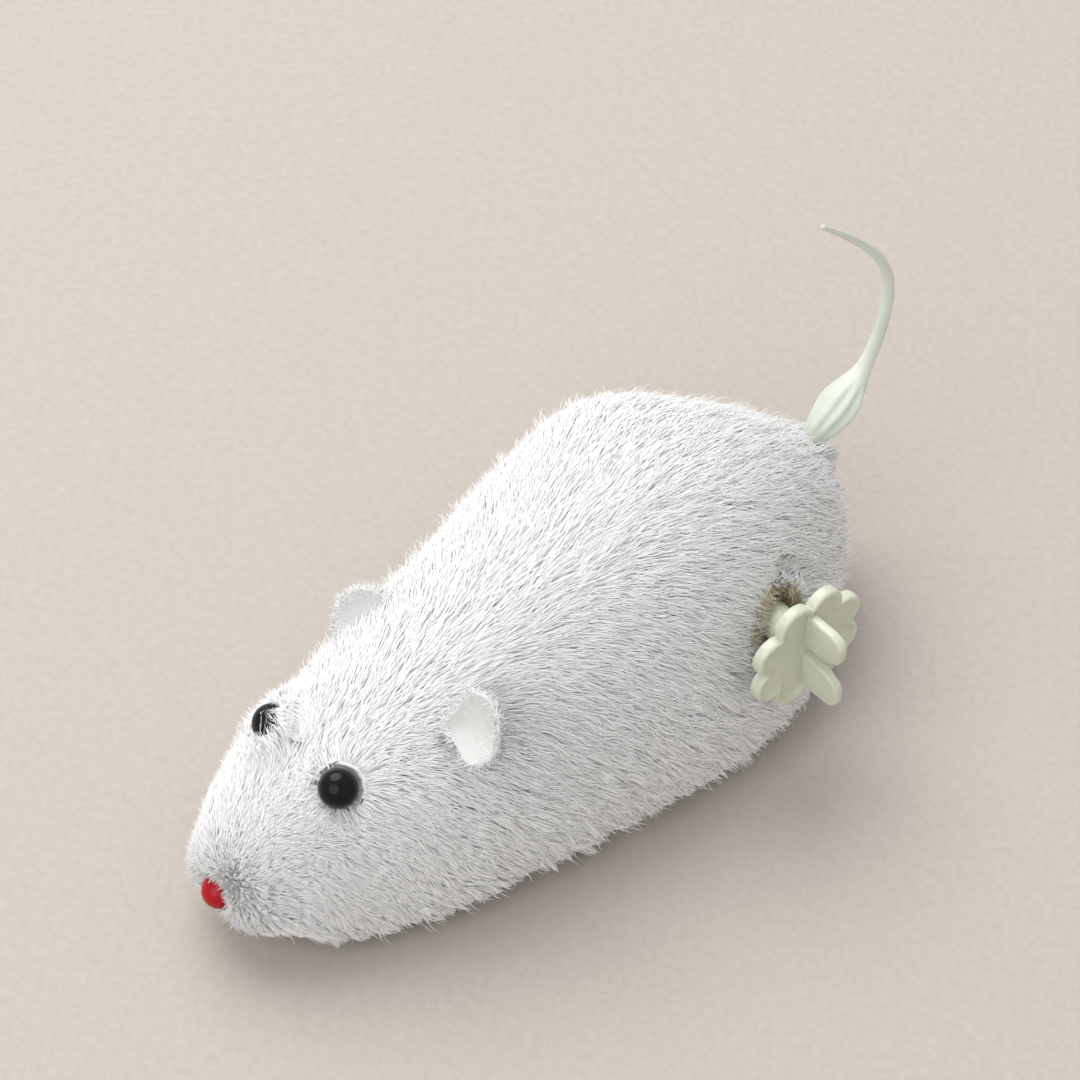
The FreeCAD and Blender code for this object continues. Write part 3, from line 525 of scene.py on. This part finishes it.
def overgrown(roots, centre, over, start, end):
    """1 where fur stands up over one side of a bead, and the way across the bead."""
    arm = roots - np.array(centre)
    far = np.linalg.norm(arm, axis=1)
    side = (arm / np.maximum(far, 1e-6)[:, None]) @ np.array(over)
    return smooth_step(side, -0.35, 0.25) * smooth_step(far, end, start), -unit(arm)


def over_right_eye(roots):
    return overgrown(roots, RIGHT_EYE, OVER_EYE, 5.0, 8.0)


def over_nose(roots):
    return overgrown(roots, NOSE, OVER_NOSE, 7.0, 10.0)


def key_side(roots):
    return roots[:, 0] > 10


def tail_end(roots):
    return roots[:, 1] > 40


def nose_end(roots):
    return roots[:, 1] < -50


def flank_share(normals):
    """0 on the back and 1 on the sides."""
    return smooth_step(normals[:, 2], 0.75, 0.2)


def comb(roots, normals):
    """Which way the pile lies: back over the body, down its sides and out round the beads."""
    down = 0.15 + 0.75 * smooth_step(np.abs(normals[:, 0]), 0.2, 0.8)
    way = np.stack([np.zeros(len(roots)), np.ones(len(roots)), -down], axis=1)
    spread = 1.3 * smooth_step(distance(roots, NOSE), 2.8, 4.8) - 0.3
    from_nose = unit(roots - np.array(NOSE)) * spread[:, None]
    face = smooth_step(roots[:, 1], -44, -57)[:, None]
    way = way * (1 - face) + from_nose * face
    hem = hem_share(roots)[:, None]
    outward = unit(normals * np.array([1, 1, 0]))
    way = way * (1 - 0.75 * hem) + (outward * 0.75 + np.array([0, 0.45, -0.6])) * 0.75 * hem
    flank = flank_share(normals)[:, None]
    way = way + (0.15 + 0.3 * flank) * flow_noise(roots, 9, 3)
    way = way + (0.2 + 0.42 * flank) * flow_noise(roots, 3.2, 9)
    way = way + rng.normal(0, 0.16, roots.shape)
    lean, across = over_right_eye(roots)
    for centre, axis, turn in zip(EYES, EYE_AXES, (np.ones(len(roots)), 0.3 - lean)):
        arm = off_axis(roots, centre, axis)
        near = smooth_step(distance(roots, centre), 7.0, 3.2)[:, None]
        way = way * (1 - near) + unit(arm) * turn[:, None] * near
    arm = off_axis(roots, ARBOR, KEY_AXIS)
    near = smooth_step(np.linalg.norm(arm, axis=1), 10.5, 6.0) * key_side(roots)
    near = (0.85 * near)[:, None]
    way = way * (1 - near) + unit(arm) * near
    lean = (0.8 * lean)[:, None]
    way = way * (1 - lean) + across * lean
    way = way - np.sum(way * normals, axis=1)[:, None] * normals
    return unit(way)


STRANDS = 160000
HALF_WIDTH, QUICK_WIDEN = 0.072, 1.9
TINT_SHARES = [0.5, 0.27, 0.23]
CLUMP_SIZE, EVEN_OVER = 13, 3.2      # strands in a clump, and how far normals are averaged
STRAY_SHARE = 0.14
BALD_KEY, BALD_EYES, BALD_NOSE, BALD_TAIL = 5.6, (2.7, 2.2), 2.1, 2.3
LIP_KEY, LIP_TAIL = 8, 4      # how far round the holes the skin's rolled lips reach
FACE_LENGTH, BODY_MORE = 2.6, 3.4
HEM_LENGTH, HEM_HEIGHT = 3.4, 1.3
ROOT_DEPTH, BEAD_CLEAR, FLOOR_CLEAR = 0.25, 0.12, 0.12


def bald(roots):
    """True where nothing grows: round the key, the beads and the tail."""
    bare = (axis_distance(roots, ARBOR, KEY_AXIS) < BALD_KEY) & key_side(roots)
    for centre, axis, radius in zip(EYES, EYE_AXES, BALD_EYES):
        bare |= (axis_distance(roots, centre, axis) < radius) & (distance(roots, centre) < 6)
    bare |= (axis_distance(roots, TAIL_EXIT, TAIL_AXIS) < BALD_TAIL) & tail_end(roots)
    return bare | ((axis_distance(roots, NOSE, NOSE_AXIS) < BALD_NOSE) & nose_end(roots))


def make_clumps(roots, normals):
    """The strands that lead clumps, each strand's clump, and normals evened round its leader."""
    leaders = rng.choice(len(roots), size=len(roots) // CLUMP_SIZE, replace=False)
    tree = KDTree(len(leaders))
    for i, leader in enumerate(leaders):
        tree.insert(roots[leader], i)
    tree.balance()
    group = np.array([tree.find(p)[1] for p in roots])
    even = np.array([
        normals[leaders[[n for _, n, _ in tree.find_range(roots[leader], EVEN_OVER)]]].mean(axis=0)
        for leader in leaders])
    return leaders, group, unit(even)[group]


def on_lip(roots, normals, even):
    """True on the rolled edges of the key's and the tail's holes."""
    at_key = (axis_distance(roots, ARBOR, KEY_AXIS) < LIP_KEY) & key_side(roots)
    at_tail = (axis_distance(roots, TAIL_EXIT, TAIL_AXIS) < LIP_TAIL) & tail_end(roots)
    return (at_key | at_tail) & (np.sum(even * normals, axis=1) < 0.55)


def pile_shape(roots, normals, stray, clumps, group):
    """Each strand's length, the height of its tip over the skin, and how upright it stands."""
    count = len(roots)
    hem = hem_share(roots)
    nose_arm = axis_distance(roots, NOSE, NOSE_AXIS)
    upright = smooth_step(nose_arm, 9.0, 5.5) * smooth_step(roots[:, 1], -53, -57.5)
    near_nose = smooth_step(nose_arm, 4.6, 3.2)
    upright = upright * (0.6 - 0.4 * near_nose * (1 - over_nose(roots)[0]))
    length = FACE_LENGTH + BODY_MORE * smooth_step(roots[:, 1], -50, -15)
    length = length * (0.82 + 0.36 * rng.random(clumps))[group] * rng.uniform(0.75, 1.15, count)
    height = fur_depth(roots) * rng.uniform(0.55, 1.1, count)
    height = height * (0.85 + 0.3 * rng.random(clumps))[group]
    ragged = rng.random(clumps)[group]
    fringe = (HEM_LENGTH + 3.4 * ragged) * hem
    length = length * (1 - hem) + fringe * (1 - 0.3 * smooth_step(roots[:, 1], -30, -55))
    tucked = smooth_step(normals[:, 2], 0.0, -0.5)
    fringe = (HEM_HEIGHT + 2.0 * ragged) * (1 - 0.7 * tucked)
    height = height * (1 - hem) + fringe * rng.uniform(0.6, 1.1, count) * hem
    standing = (2.6 - 0.9 * near_nose) * upright
    length = length * (1 - upright) + standing * rng.uniform(0.6, 1.2, count)
    height = height * (1 - upright) + 0.93 * length * upright
    round_eye = smooth_step(distance(roots, RIGHT_EYE), 8.0, 4.5) * rng.uniform(0.75, 1.0, count)
    lean = over_right_eye(roots)[0] * rng.uniform(0.8, 1.1, count)
    length = length * (1 - round_eye) + (3.4 + 1.6 * lean) * round_eye
    height = height * (1 - round_eye) + (2.9 + 1.1 * lean) * round_eye
    height = height * np.where(stray, rng.uniform(1.1, 1.6, count), 1)
    press = smooth_step(axis_distance(roots, ARBOR, KEY_AXIS), 9, 5.5) * key_side(roots)
    return length * (1 - 0.45 * press), height * (1 - 0.55 * press), upright


def lay_strands(roots, normals, way, shape, clumps, group):
    """Four points along each strand: it rises, lies over, and waves from side to side."""
    count = len(roots)
    length, height, upright = shape
    reach = np.sqrt(np.maximum(length ** 2 - height ** 2, 0.04))
    side = np.cross(normals, way)
    phase = (2 * math.pi * rng.random(clumps))[group] + rng.normal(0, 0.5, count)
    wave = 0.055 * length * (1 - 0.5 * upright)
    swing = rng.uniform(3.0, 5.0, clumps)[group]
    paths = np.empty((count, len(RINGS), 3))
    paths[:, 0] = roots - normals * ROOT_DEPTH
    follow = 1 - smooth_step(roots[:, 2], 9, 5)      # how far a strand follows the skin's curve
    for k, t in enumerate(RINGS[1:], 1):
        sway = wave * (np.sin(phase + swing * t) - np.sin(phase))
        flat = roots + way * (reach * t)[:, None] + side * sway[:, None]
        rise = height * (1 - (1 - t) ** 1.7)
        free = flat + normals * rise[:, None]
        held = free.copy()
        for i in np.nonzero((follow > 0) & (upright < 0.5))[0]:
            place, normal, _, _ = skin_tree.find_nearest(Vector(flat[i]))
            held[i] = np.array(place) + unit(normals[i] + np.array(normal)) * rise[i]
        paths[:, k] = free * (1 - follow)[:, None] + held * follow[:, None]
    return paths


def gather_clumps(paths, roots, normals, stray, leader_of):
    """Draws the strands' tips towards their clump's leader."""
    pull = 0.24 + 0.48 * flank_share(normals) + 0.2 * flow_noise(roots, 7, 21)[:, 0]
    pull = np.clip(pull, 0.1, 0.8) * (0.7 + 0.3 * smooth_step(roots[:, 1], -50, -20))
    pull = (pull + 0.35 * hem_share(roots)) * (1 - stray)
    leader_paths = paths[leader_of].copy()
    for k in (1, 2, 3):
        share = (pull * RINGS[k] ** 1.3)[:, None]
        paths[:, k] = paths[:, k] * (1 - share) + leader_paths[:, k] * share
    return paths


def keep_out(paths):
    """Moves points out of the beads and off the floor."""
    for centre, radius in [(c, EYE_R) for c in EYES] + [(NOSE, NOSE_R)]:
        arm = paths - np.array(centre)
        span = np.linalg.norm(arm, axis=2, keepdims=True)
        skim = radius + BEAD_CLEAR
        on_bead = np.array(centre) + arm / np.maximum(span, 1e-6) * skim
        paths = np.where(span < skim, on_bead, paths)
    paths[:, :, 2] = np.maximum(paths[:, :, 2], FLOOR_CLEAR)
    return paths


def in_gap(paths):
    """True for strands that would cover the right eye's slit or cross a parting."""
    tip = paths[:, 3] - np.array(RIGHT_EYE)
    over_bead = (np.linalg.norm(tip, axis=1) < EYE_R + 1.8) & (tip @ np.array(RIGHT_EYE_AXIS) > 1.2)
    blocked = over_bead & (tip @ np.array(SLIT_WAY) > 0.9)
    for centre, radius, _ in GAPS:
        for t in np.linspace(0, 3, 10):
            k = min(int(t), 2)
            spot = paths[:, k] * (k + 1 - t) + paths[:, k + 1] * (t - k)
            blocked |= distance(spot, centre) <= radius
    return blocked


def grow_fur():
    """The roots, normals, paths, half widths and tints of all the strands."""
    roots, normals = scatter(STRANDS)
    keep = ~bald(roots)
    roots, normals = roots[keep], normals[keep]
    count = len(roots)
    leaders, group, even = make_clumps(roots, normals)
    clumps = len(leaders)
    lip = on_lip(roots, normals, even)
    normals = unit(0.25 * normals + even)
    way = comb(roots, normals)
    stray = rng.random(count) < STRAY_SHARE
    shape = pile_shape(roots, normals, stray, clumps, group)
    paths = lay_strands(roots, normals, way, shape, clumps, group)
    paths = keep_out(gather_clumps(paths, roots, normals, stray, leaders[group]))
    clear = ~(lip | in_gap(paths))
    widths = HALF_WIDTH * rng.uniform(0.75, 1.25, count)
    widths = widths * (1 - 0.2 * smooth_step(roots[:, 1], -30, -50)) * np.where(stray, 0.7, 1)
    tints = rng.choice(3, size=count, p=TINT_SHARES)
    return [values[clear] for values in (roots, normals, paths, widths, tints)]


# the bands of fur from nose to rump, by the Y that each reaches to
BANDS = {"muzzle": -53.0, "brow": -42.0, "head": -29.0, "neck": -14.0, "shoulders": 3.0,
         "waist": 20.0, "haunches": 37.0, "croup": 48.0, "rump": 99.0}


def build_fur():
    """One piece of fur for each band of the body and side."""
    roots, normals, paths, widths, tints = grow_fur()
    start = -99.0
    for band, end in BANDS.items():
        for side_name, sign in (("left", 1), ("right", -1)):
            here = (roots[:, 1] >= start) & (roots[:, 1] < end) & (roots[:, 0] * sign >= 0)
            name = f"fur_{band}_{side_name}"
            mesh = strand_mesh(name, paths[here], normals[here], widths[here], tints[here], fur_tints)
            add_object(name, mesh, "housing")
        start = end


build_fur()


def curled(roots, way, curl, length):
    """Paths of loose fibres that leave their roots one way and bend another."""
    return np.stack([roots + (way * t + curl * t * t) * length[:, None] for t in RINGS], axis=1)


# ---- ears ---------------------------------------------------------------------------
EAR_R, EAR_FELT, EAR_CUP = 5.5, 1.0, 10.5
EAR_RINGS, EAR_AROUND, RIM_STEPS = 18, 64, 6
NAP_FIBRES, NAP_HALF_WIDTH = 2200, 0.035
EAR_PLACES = {"ear_left": (17.2, -24.1, 36.5), "ear_right": (-11.6, -21.3, 30.4)}
EAR_FACING = {"ear_left": (-0.158, -0.853, 0.498), "ear_right": (0.10, -0.66, 0.75)}
EAR_OUT = (0.816, 0.173, 0.552)


def build_ear(name):
    """A cupped round of felt with a soft rim, pinched where it is sewn on."""
    centre = np.array(EAR_PLACES[name])
    sign = 1 if centre[0] > 0 else -1
    facing = unit(np.array(EAR_FACING[name]))
    out = unit(np.array(EAR_OUT)) * np.array([sign, 1, 1])
    out = unit(out - facing * (out @ facing))
    across = np.cross(facing, out)
    half = EAR_FELT / 2
    flat_r = EAR_R - half

    def place(r, angle, lift):
        u, v = 1.1 * r * math.cos(angle), 0.95 * r * math.sin(angle)
        pinch = float(smooth_step(np.array(-u), 0.5, EAR_R))
        v *= 1 - 0.5 * pinch
        bowl = (u * u + v * v) / (2 * EAR_CUP) + 0.9 * pinch * abs(v) / EAR_R
        ripple = 0.22 * math.sin(3 * angle + 0.7) * (r / EAR_R) ** 2
        return centre + out * u + across * v + facing * (bowl + ripple + lift)

    profile = [(r / EAR_RINGS * flat_r, half) for r in range(1, EAR_RINGS + 1)]
    profile += [(flat_r + half * math.sin(a), half * math.cos(a))
                for a in (math.pi * k / RIM_STEPS for k in range(1, RIM_STEPS))]
    profile += [(r / EAR_RINGS * flat_r, -half) for r in range(EAR_RINGS, 0, -1)]
    points = [place(0, 0, half)]
    for r, lift in profile:
        points += [place(r, 2 * math.pi * k / EAR_AROUND, lift) for k in range(EAR_AROUND)]
    points.append(place(0, 0, -half))
    mesh = mesh_of(name + "_felt", points, capped_rings(len(profile), EAR_AROUND), [felt_white])
    piece = add_object(name + "_felt", mesh, "housing")
    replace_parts(piece, name)
    add_nap(name, mesh, centre)


def add_nap(name, mesh, centre):
    """Short loose fibres over an ear, most and longest at its rim."""
    co = np.array([v.co for v in mesh.vertices]) / MM
    normals = np.array([v.normal for v in mesh.vertices])
    rim = distance(co, centre)
    chance = smooth_step(rim, 4.3, 5.4) + 1e-6
    pick = rng.choice(len(co), size=NAP_FIBRES, p=chance / chance.sum())
    roots, ups = co[pick] + rng.normal(0, 0.12, (NAP_FIBRES, 3)), normals[pick]
    way = unit(0.5 * ups + 0.7 * unit(roots - centre) + rng.normal(0, 0.45, roots.shape))
    length = rng.uniform(0.5, 1.2, NAP_FIBRES) * (0.5 + 0.7 * smooth_step(rim[pick], 3.5, 5.4))
    curl = rng.normal(0, 0.25, roots.shape)
    paths = curled(roots - ups * 0.15, way, curl, length)
    widths = NAP_HALF_WIDTH * rng.uniform(0.7, 1.3, NAP_FIBRES)
    nap = strand_mesh(name + "_nap", paths, ups, widths, rng.choice(3, size=NAP_FIBRES), fur_tints)
    add_object(name + "_nap", nap, "housing")


for ear_name in EAR_PLACES:
    build_ear(ear_name)


# ---- tail ---------------------------------------------------------------------------
TAIL = [  # place (y, z), half width across the mouse, half thickness
    ((52.4, 23.4), 1.6, 1.6), ((56.6, 27.0), 1.65, 1.6), ((59.2, 29.4), 2.5, 2.1),
    ((62.2, 31.9), 3.1, 2.3), ((65.0, 34.2), 2.4, 1.9), ((67.4, 37.0), 1.35, 1.3),
    ((69.6, 41.8), 1.05, 1.0), ((70.9, 47.5), 0.98, 0.94), ((70.6, 54.0), 0.92, 0.88),
    ((67.6, 60.6), 0.85, 0.81), ((62.0, 67.3), 0.7, 0.66), ((54.6, 74.4), 0.45, 0.42),
]
TAIL_LEAF = (1.2, 4.6)      # stations between which the leaf is fluted
TAIL_STEPS, TAIL_AROUND, TIP_ROUND = 150, 54, 0.12


def curve_through(values, at):
    """Catmull-Rom through evenly numbered values, at a fractional number."""
    values = np.asarray(values, float)
    i = int(min(max(math.floor(at), 0), len(values) - 2))
    t = at - i
    p = [values[min(max(i + k, 0), len(values) - 1)] for k in (-1, 0, 1, 2)]
    return 0.5 * (2 * p[1] + (p[2] - p[0]) * t + (2 * p[0] - 5 * p[1] + 4 * p[2] - p[3]) * t * t
                  + (3 * p[1] - p[0] - 3 * p[2] + p[3]) * t ** 3)


def build_tail():
    """Moulded vinyl tail: fluted leaf at its base, thin whip, and a rounded tip."""
    rows = [(0.0, y, z, w, h) for (y, z), w, h in TAIL]
    last = len(rows) - 1
    sideways = np.array([1.0, 0, 0])
    points, faces = [], []
    for s in range(TAIL_STEPS + 1):
        at = last * s / TAIL_STEPS
        _, y, z, wide, thick = curve_through(rows, at)
        ahead = curve_through(rows, min(at + 0.02, last))
        behind = curve_through(rows, max(at - 0.02, 0))
        rise = unit((ahead - behind)[:3])
        third = np.cross(rise, sideways)
        leaf = float(smooth_step(np.array(at), TAIL_LEAF[0], 2.2)
                     * smooth_step(np.array(at), TAIL_LEAF[1], 3.6))
        end = math.sqrt(max(0.0, 1 - max(0.0, (at - (last - TIP_ROUND)) / TIP_ROUND) ** 2))
        for k in range(TAIL_AROUND):
            a = 2 * math.pi * k / TAIL_AROUND
            flute = 1 + leaf * (0.075 * math.cos(9 * a + 0.6) + 0.03 * math.cos(4 * a))
            ridge = 0.10 * leaf * max(0.0, math.cos(a)) ** 12
            across = sideways * math.cos(a) * wide * (flute + ridge) * end
            points.append(np.array([0, y, z]) + across + third * math.sin(a) * thick * flute * end)
    for a in range(0, TAIL_STEPS * TAIL_AROUND, TAIL_AROUND):
        for k in range(TAIL_AROUND):
            n, b = (k + 1) % TAIL_AROUND, a + TAIL_AROUND
            faces.append((a + k, a + n, b + n, b + k))
    faces.append(tuple(reversed(range(TAIL_AROUND))))
    faces.append(tuple(range(TAIL_STEPS * TAIL_AROUND, (TAIL_STEPS + 1) * TAIL_AROUND)))
    mesh = mesh_of("tail_vinyl", points, faces, [vinyl])
    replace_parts(add_object("tail_vinyl", mesh, "housing"), "tail")


build_tail()


# ---- winding key --------------------------------------------------------------------
PETALS, PETAL_AT, PETAL_R = 8, 7.6, 3.2
DISC_BACK, DISC_FRONT, LIP = 28.6, 30.0, 0.65
FIN_HALF, FIN_THICK, FIN_GAP = 7.6, 1.6, 1.0
HUB_R, HUB_BORE, HUB_EDGE = 2.8, 1.7, 0.3
FLOWER_AROUND, HUB_AROUND, FIN_ROUND = 256, 64, 0.45


def petal_radius(angle):
    """The flower's outline: the farthest petal edge in a direction."""
    pitch = 2 * math.pi / PETALS
    off = (angle + pitch) % pitch - pitch / 2
    return PETAL_AT * math.cos(off) + math.sqrt(PETAL_R ** 2 - (PETAL_AT * math.sin(off)) ** 2)


def key_flower():
    """The scalloped disc with its raised, rounded lip."""
    profile = [(-5.6, 0.0), (-3.2, 0.0), (-2.2, 0.02), (-1.6, 0.14), (-1.15, 0.42),
               (-0.8, 0.60), (-0.45, LIP), (-0.14, 0.52), (0.0, 0.22), (0.0, -0.9),
               (-0.12, -1.25), (-0.4, -1.4), (-2.0, -1.4)]      # inset from the outline, and rise
    points = [(DISC_FRONT, ARBOR[1], ARBOR[2])]
    for inset, rise in profile:
        for k in range(FLOWER_AROUND):
            a = 2 * math.pi * k / FLOWER_AROUND
            r = petal_radius(a) + inset
            if inset < -3:
                r = max(r, 1.5 * (1 + 0.12 * math.cos(PETALS * a)))
            points.append((DISC_FRONT + rise, ARBOR[1] + r * math.cos(a), ARBOR[2] + r * math.sin(a)))
    points.append((DISC_BACK, ARBOR[1], ARBOR[2]))
    return points, capped_rings(len(profile), FLOWER_AROUND)


def key_fin(side):
    """One finger wing: a thick blade with rounded edges, standing off the disc."""
    z_in, z_out = ARBOR[2] + side * FIN_GAP, ARBOR[2] + side * FIN_HALF
    x0, x1 = DISC_FRONT - 0.3, KEY_HIGH[0]
    outline = [(x0, z_in), (x0 + 1.6, z_in), (x1 - 2.6, z_in + side * 0.3),
               (x1 - 0.6, z_in + side * 1.3), (x1, z_in + side * 2.4), (x1, z_out - side * 1.4),
               (x1 - 1.0, z_out - side * 0.3), (x1 - 2.4, z_out), (x0, z_out)]
    half = FIN_THICK / 2
    points = [(x, ARBOR[1] + y, z) for y in (-half, half) for x, z in outline]
    n = len(outline)
    faces = [tuple(range(n)), tuple(reversed(range(n, 2 * n)))]
    faces += [(k, k + n, (k + 1) % n + n, (k + 1) % n) for k in range(n)]
    return points, faces


def hub_tube():
    """The hub that reaches through the fur to the arbor."""
    low, high = KEY_LOW[0], DISC_BACK + 0.1
    profile = [(low, HUB_BORE), (low, HUB_R - HUB_EDGE), (low + HUB_EDGE, HUB_R), (high, HUB_R),
               (high, HUB_BORE)]
    points, faces = [], []
    for x, r in profile:
        points += [(x, ARBOR[1] + r * math.cos(2 * math.pi * k / HUB_AROUND),
                    ARBOR[2] + r * math.sin(2 * math.pi * k / HUB_AROUND)) for k in range(HUB_AROUND)]
    for row in range(len(profile)):
        a, b = row * HUB_AROUND, (row + 1) % len(profile) * HUB_AROUND
        for k in range(HUB_AROUND):
            n = (k + 1) % HUB_AROUND
            faces.append((a + k, b + k, b + n, a + n))
    return points, faces


def turn_outwards(mesh):
    """Turns every face of a closed mesh outwards."""
    bm = bmesh.new()
    bm.from_mesh(mesh)
    bmesh.ops.recalc_face_normals(bm, faces=bm.faces)
    bm.to_mesh(mesh)
    bm.free()
    mesh.update()


def build_key():
    """The flower, its two wings and the hub, all turning with the arbor."""
    parts = {"key_flower": key_flower(), "key_fin_upper": key_fin(1), "key_fin_lower": key_fin(-1),
             "key_hub": hub_tube()}
    for name, (points, faces) in parts.items():
        mesh = mesh_of(name, points, faces, [cream])
        turn_outwards(mesh)
        piece = add_object(name, mesh, "winder")
        if "fin" in name:
            soft = piece.modifiers.new("round", "BEVEL")
            soft.width = FIN_ROUND * MM
            soft.segments = 4
            soft.limit_method = "ANGLE"
            soft.angle_limit = math.radians(40)
        if name == "key_flower":
            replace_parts(piece, "winding_key")


build_key()


# ---- loose fibres round the key's hole -----------------------------------------------
HOLE_FIBRES, HOLE_ROOTS, HOLE_HALF_WIDTH = 1300, (4.9, 6.3), 0.05
BEHIND_DISC = 0.6


def build_hole_fibres():
    """Tan fibres of the cut backing, frayed inwards round the key's hub."""
    roots, normals = [], []
    for angle, r in zip(rng.uniform(0, 2 * math.pi, HOLE_FIBRES), rng.uniform(*HOLE_ROOTS, HOLE_FIBRES)):
        above = Vector((60, ARBOR[1] + r * math.cos(angle), ARBOR[2] + r * math.sin(angle)))
        place, normal, _, _ = skin_tree.ray_cast(above, Vector((-1, 0, 0)))
        if place is not None and normal.x > 0.3:
            roots.append(place)
            normals.append(normal)
    roots, normals = np.array(roots), np.array(normals)
    count = len(roots)
    inward = -unit(off_axis(roots, ARBOR, KEY_AXIS))
    way = unit(0.55 * inward + 0.55 * normals + rng.normal(0, 0.42, roots.shape))
    length = rng.uniform(0.9, 2.1, count)
    paths = curled(roots - normals * 0.2, way, rng.normal(0, 0.3, roots.shape), length)
    paths[:, :, 0] = np.minimum(paths[:, :, 0], DISC_BACK - BEHIND_DISC)
    widths = HOLE_HALF_WIDTH * rng.uniform(0.7, 1.3, count)
    tints = rng.choice(2, size=count, p=[0.45, 0.55])
    mesh = strand_mesh("fur_key_hole", paths, normals, widths, tints, tan_fibre)
    add_object("fur_key_hole", mesh, "housing")


build_hole_fibres()


# ---- floor, light and camera --------------------------------------------------------
FLOOR_HALF = 2.5      # metres
FLOOR_TONES = (0.445, 0.402, 0.358), (0.485, 0.440, 0.395)


def build_stage():
    corners = [(x * FLOOR_HALF, y * FLOOR_HALF, 0) for x, y in ((-1, -1), (1, -1), (1, 1), (-1, 1))]
    mesh = bpy.data.meshes.new("floor")
    mesh.from_pydata(corners, [], [(0, 1, 2, 3)])
    floor = bpy.data.objects.new("floor", mesh)
    scene.collection.objects.link(floor)
    mat, tree, body = shader("floor_matt", FLOOR_TONES[1], 0.85)
    grain = noise_node(tree, 700, 3)
    link(tree, ramp_between(tree, grain.outputs["Fac"], *FLOOR_TONES), body.inputs["Base Color"])
    mesh.materials.append(mat)


LIT_AT = (0, 0, 0.02)      # the middle of the body


def area_light(name, place, size, power, colour):
    light = bpy.data.lights.new(name, "AREA")
    light.shape = "DISK"
    light.size = size
    light.energy = power
    light.color = colour
    lamp = bpy.data.objects.new(name, light)
    lamp.location = place
    lamp.rotation_mode = "QUATERNION"
    lamp.rotation_quaternion = (Vector(LIT_AT) - Vector(place)).to_track_quat("-Z", "Y")
    scene.collection.objects.link(lamp)


build_stage()
area_light("key_light", (-0.55, 0.10, 0.95), 1.0, 9.8, (1.0, 0.995, 0.985))
area_light("fill_light", (0.25, -0.85, 0.75), 1.1, 5.2, (1.0, 1.0, 1.0))
world = bpy.data.worlds.new("studio")
world.use_nodes = True
sky = world.node_tree.nodes["Background"].inputs
sky["Color"].default_value = (1.0, 0.995, 0.985, 1)
sky["Strength"].default_value = 0.68
scene.world = world
scene.view_settings.view_transform = "Standard"

AZIMUTH, ELEVATION, ROLL = (math.radians(v) for v in (48.452, 48.0, 1.374))
LENS = 125.21
CAMERA_AT = Vector((273.844, -241.407, 450.270)) * MM


def build_camera():
    """The camera, from its way of looking; ROLL turns it about that way."""
    back = Vector((math.sin(AZIMUTH) * math.cos(ELEVATION),
                   -math.cos(AZIMUTH) * math.cos(ELEVATION), math.sin(ELEVATION)))
    right = Vector((math.cos(AZIMUTH), math.sin(AZIMUTH), 0))
    up = back.cross(right)
    turned_right = right * math.cos(ROLL) + up * math.sin(ROLL)
    turned_up = up * math.cos(ROLL) - right * math.sin(ROLL)
    data = bpy.data.cameras.new("camera")
    data.lens = LENS
    data.clip_start, data.clip_end = 0.01, 20
    camera = bpy.data.objects.new("camera", data)
    camera.matrix_world = Matrix((
        (turned_right.x, turned_up.x, back.x, CAMERA_AT.x),
        (turned_right.y, turned_up.y, back.y, CAMERA_AT.y),
        (turned_right.z, turned_up.z, back.z, CAMERA_AT.z),
        (0, 0, 0, 1)))
    scene.collection.objects.link(camera)
    scene.camera = camera


build_camera()
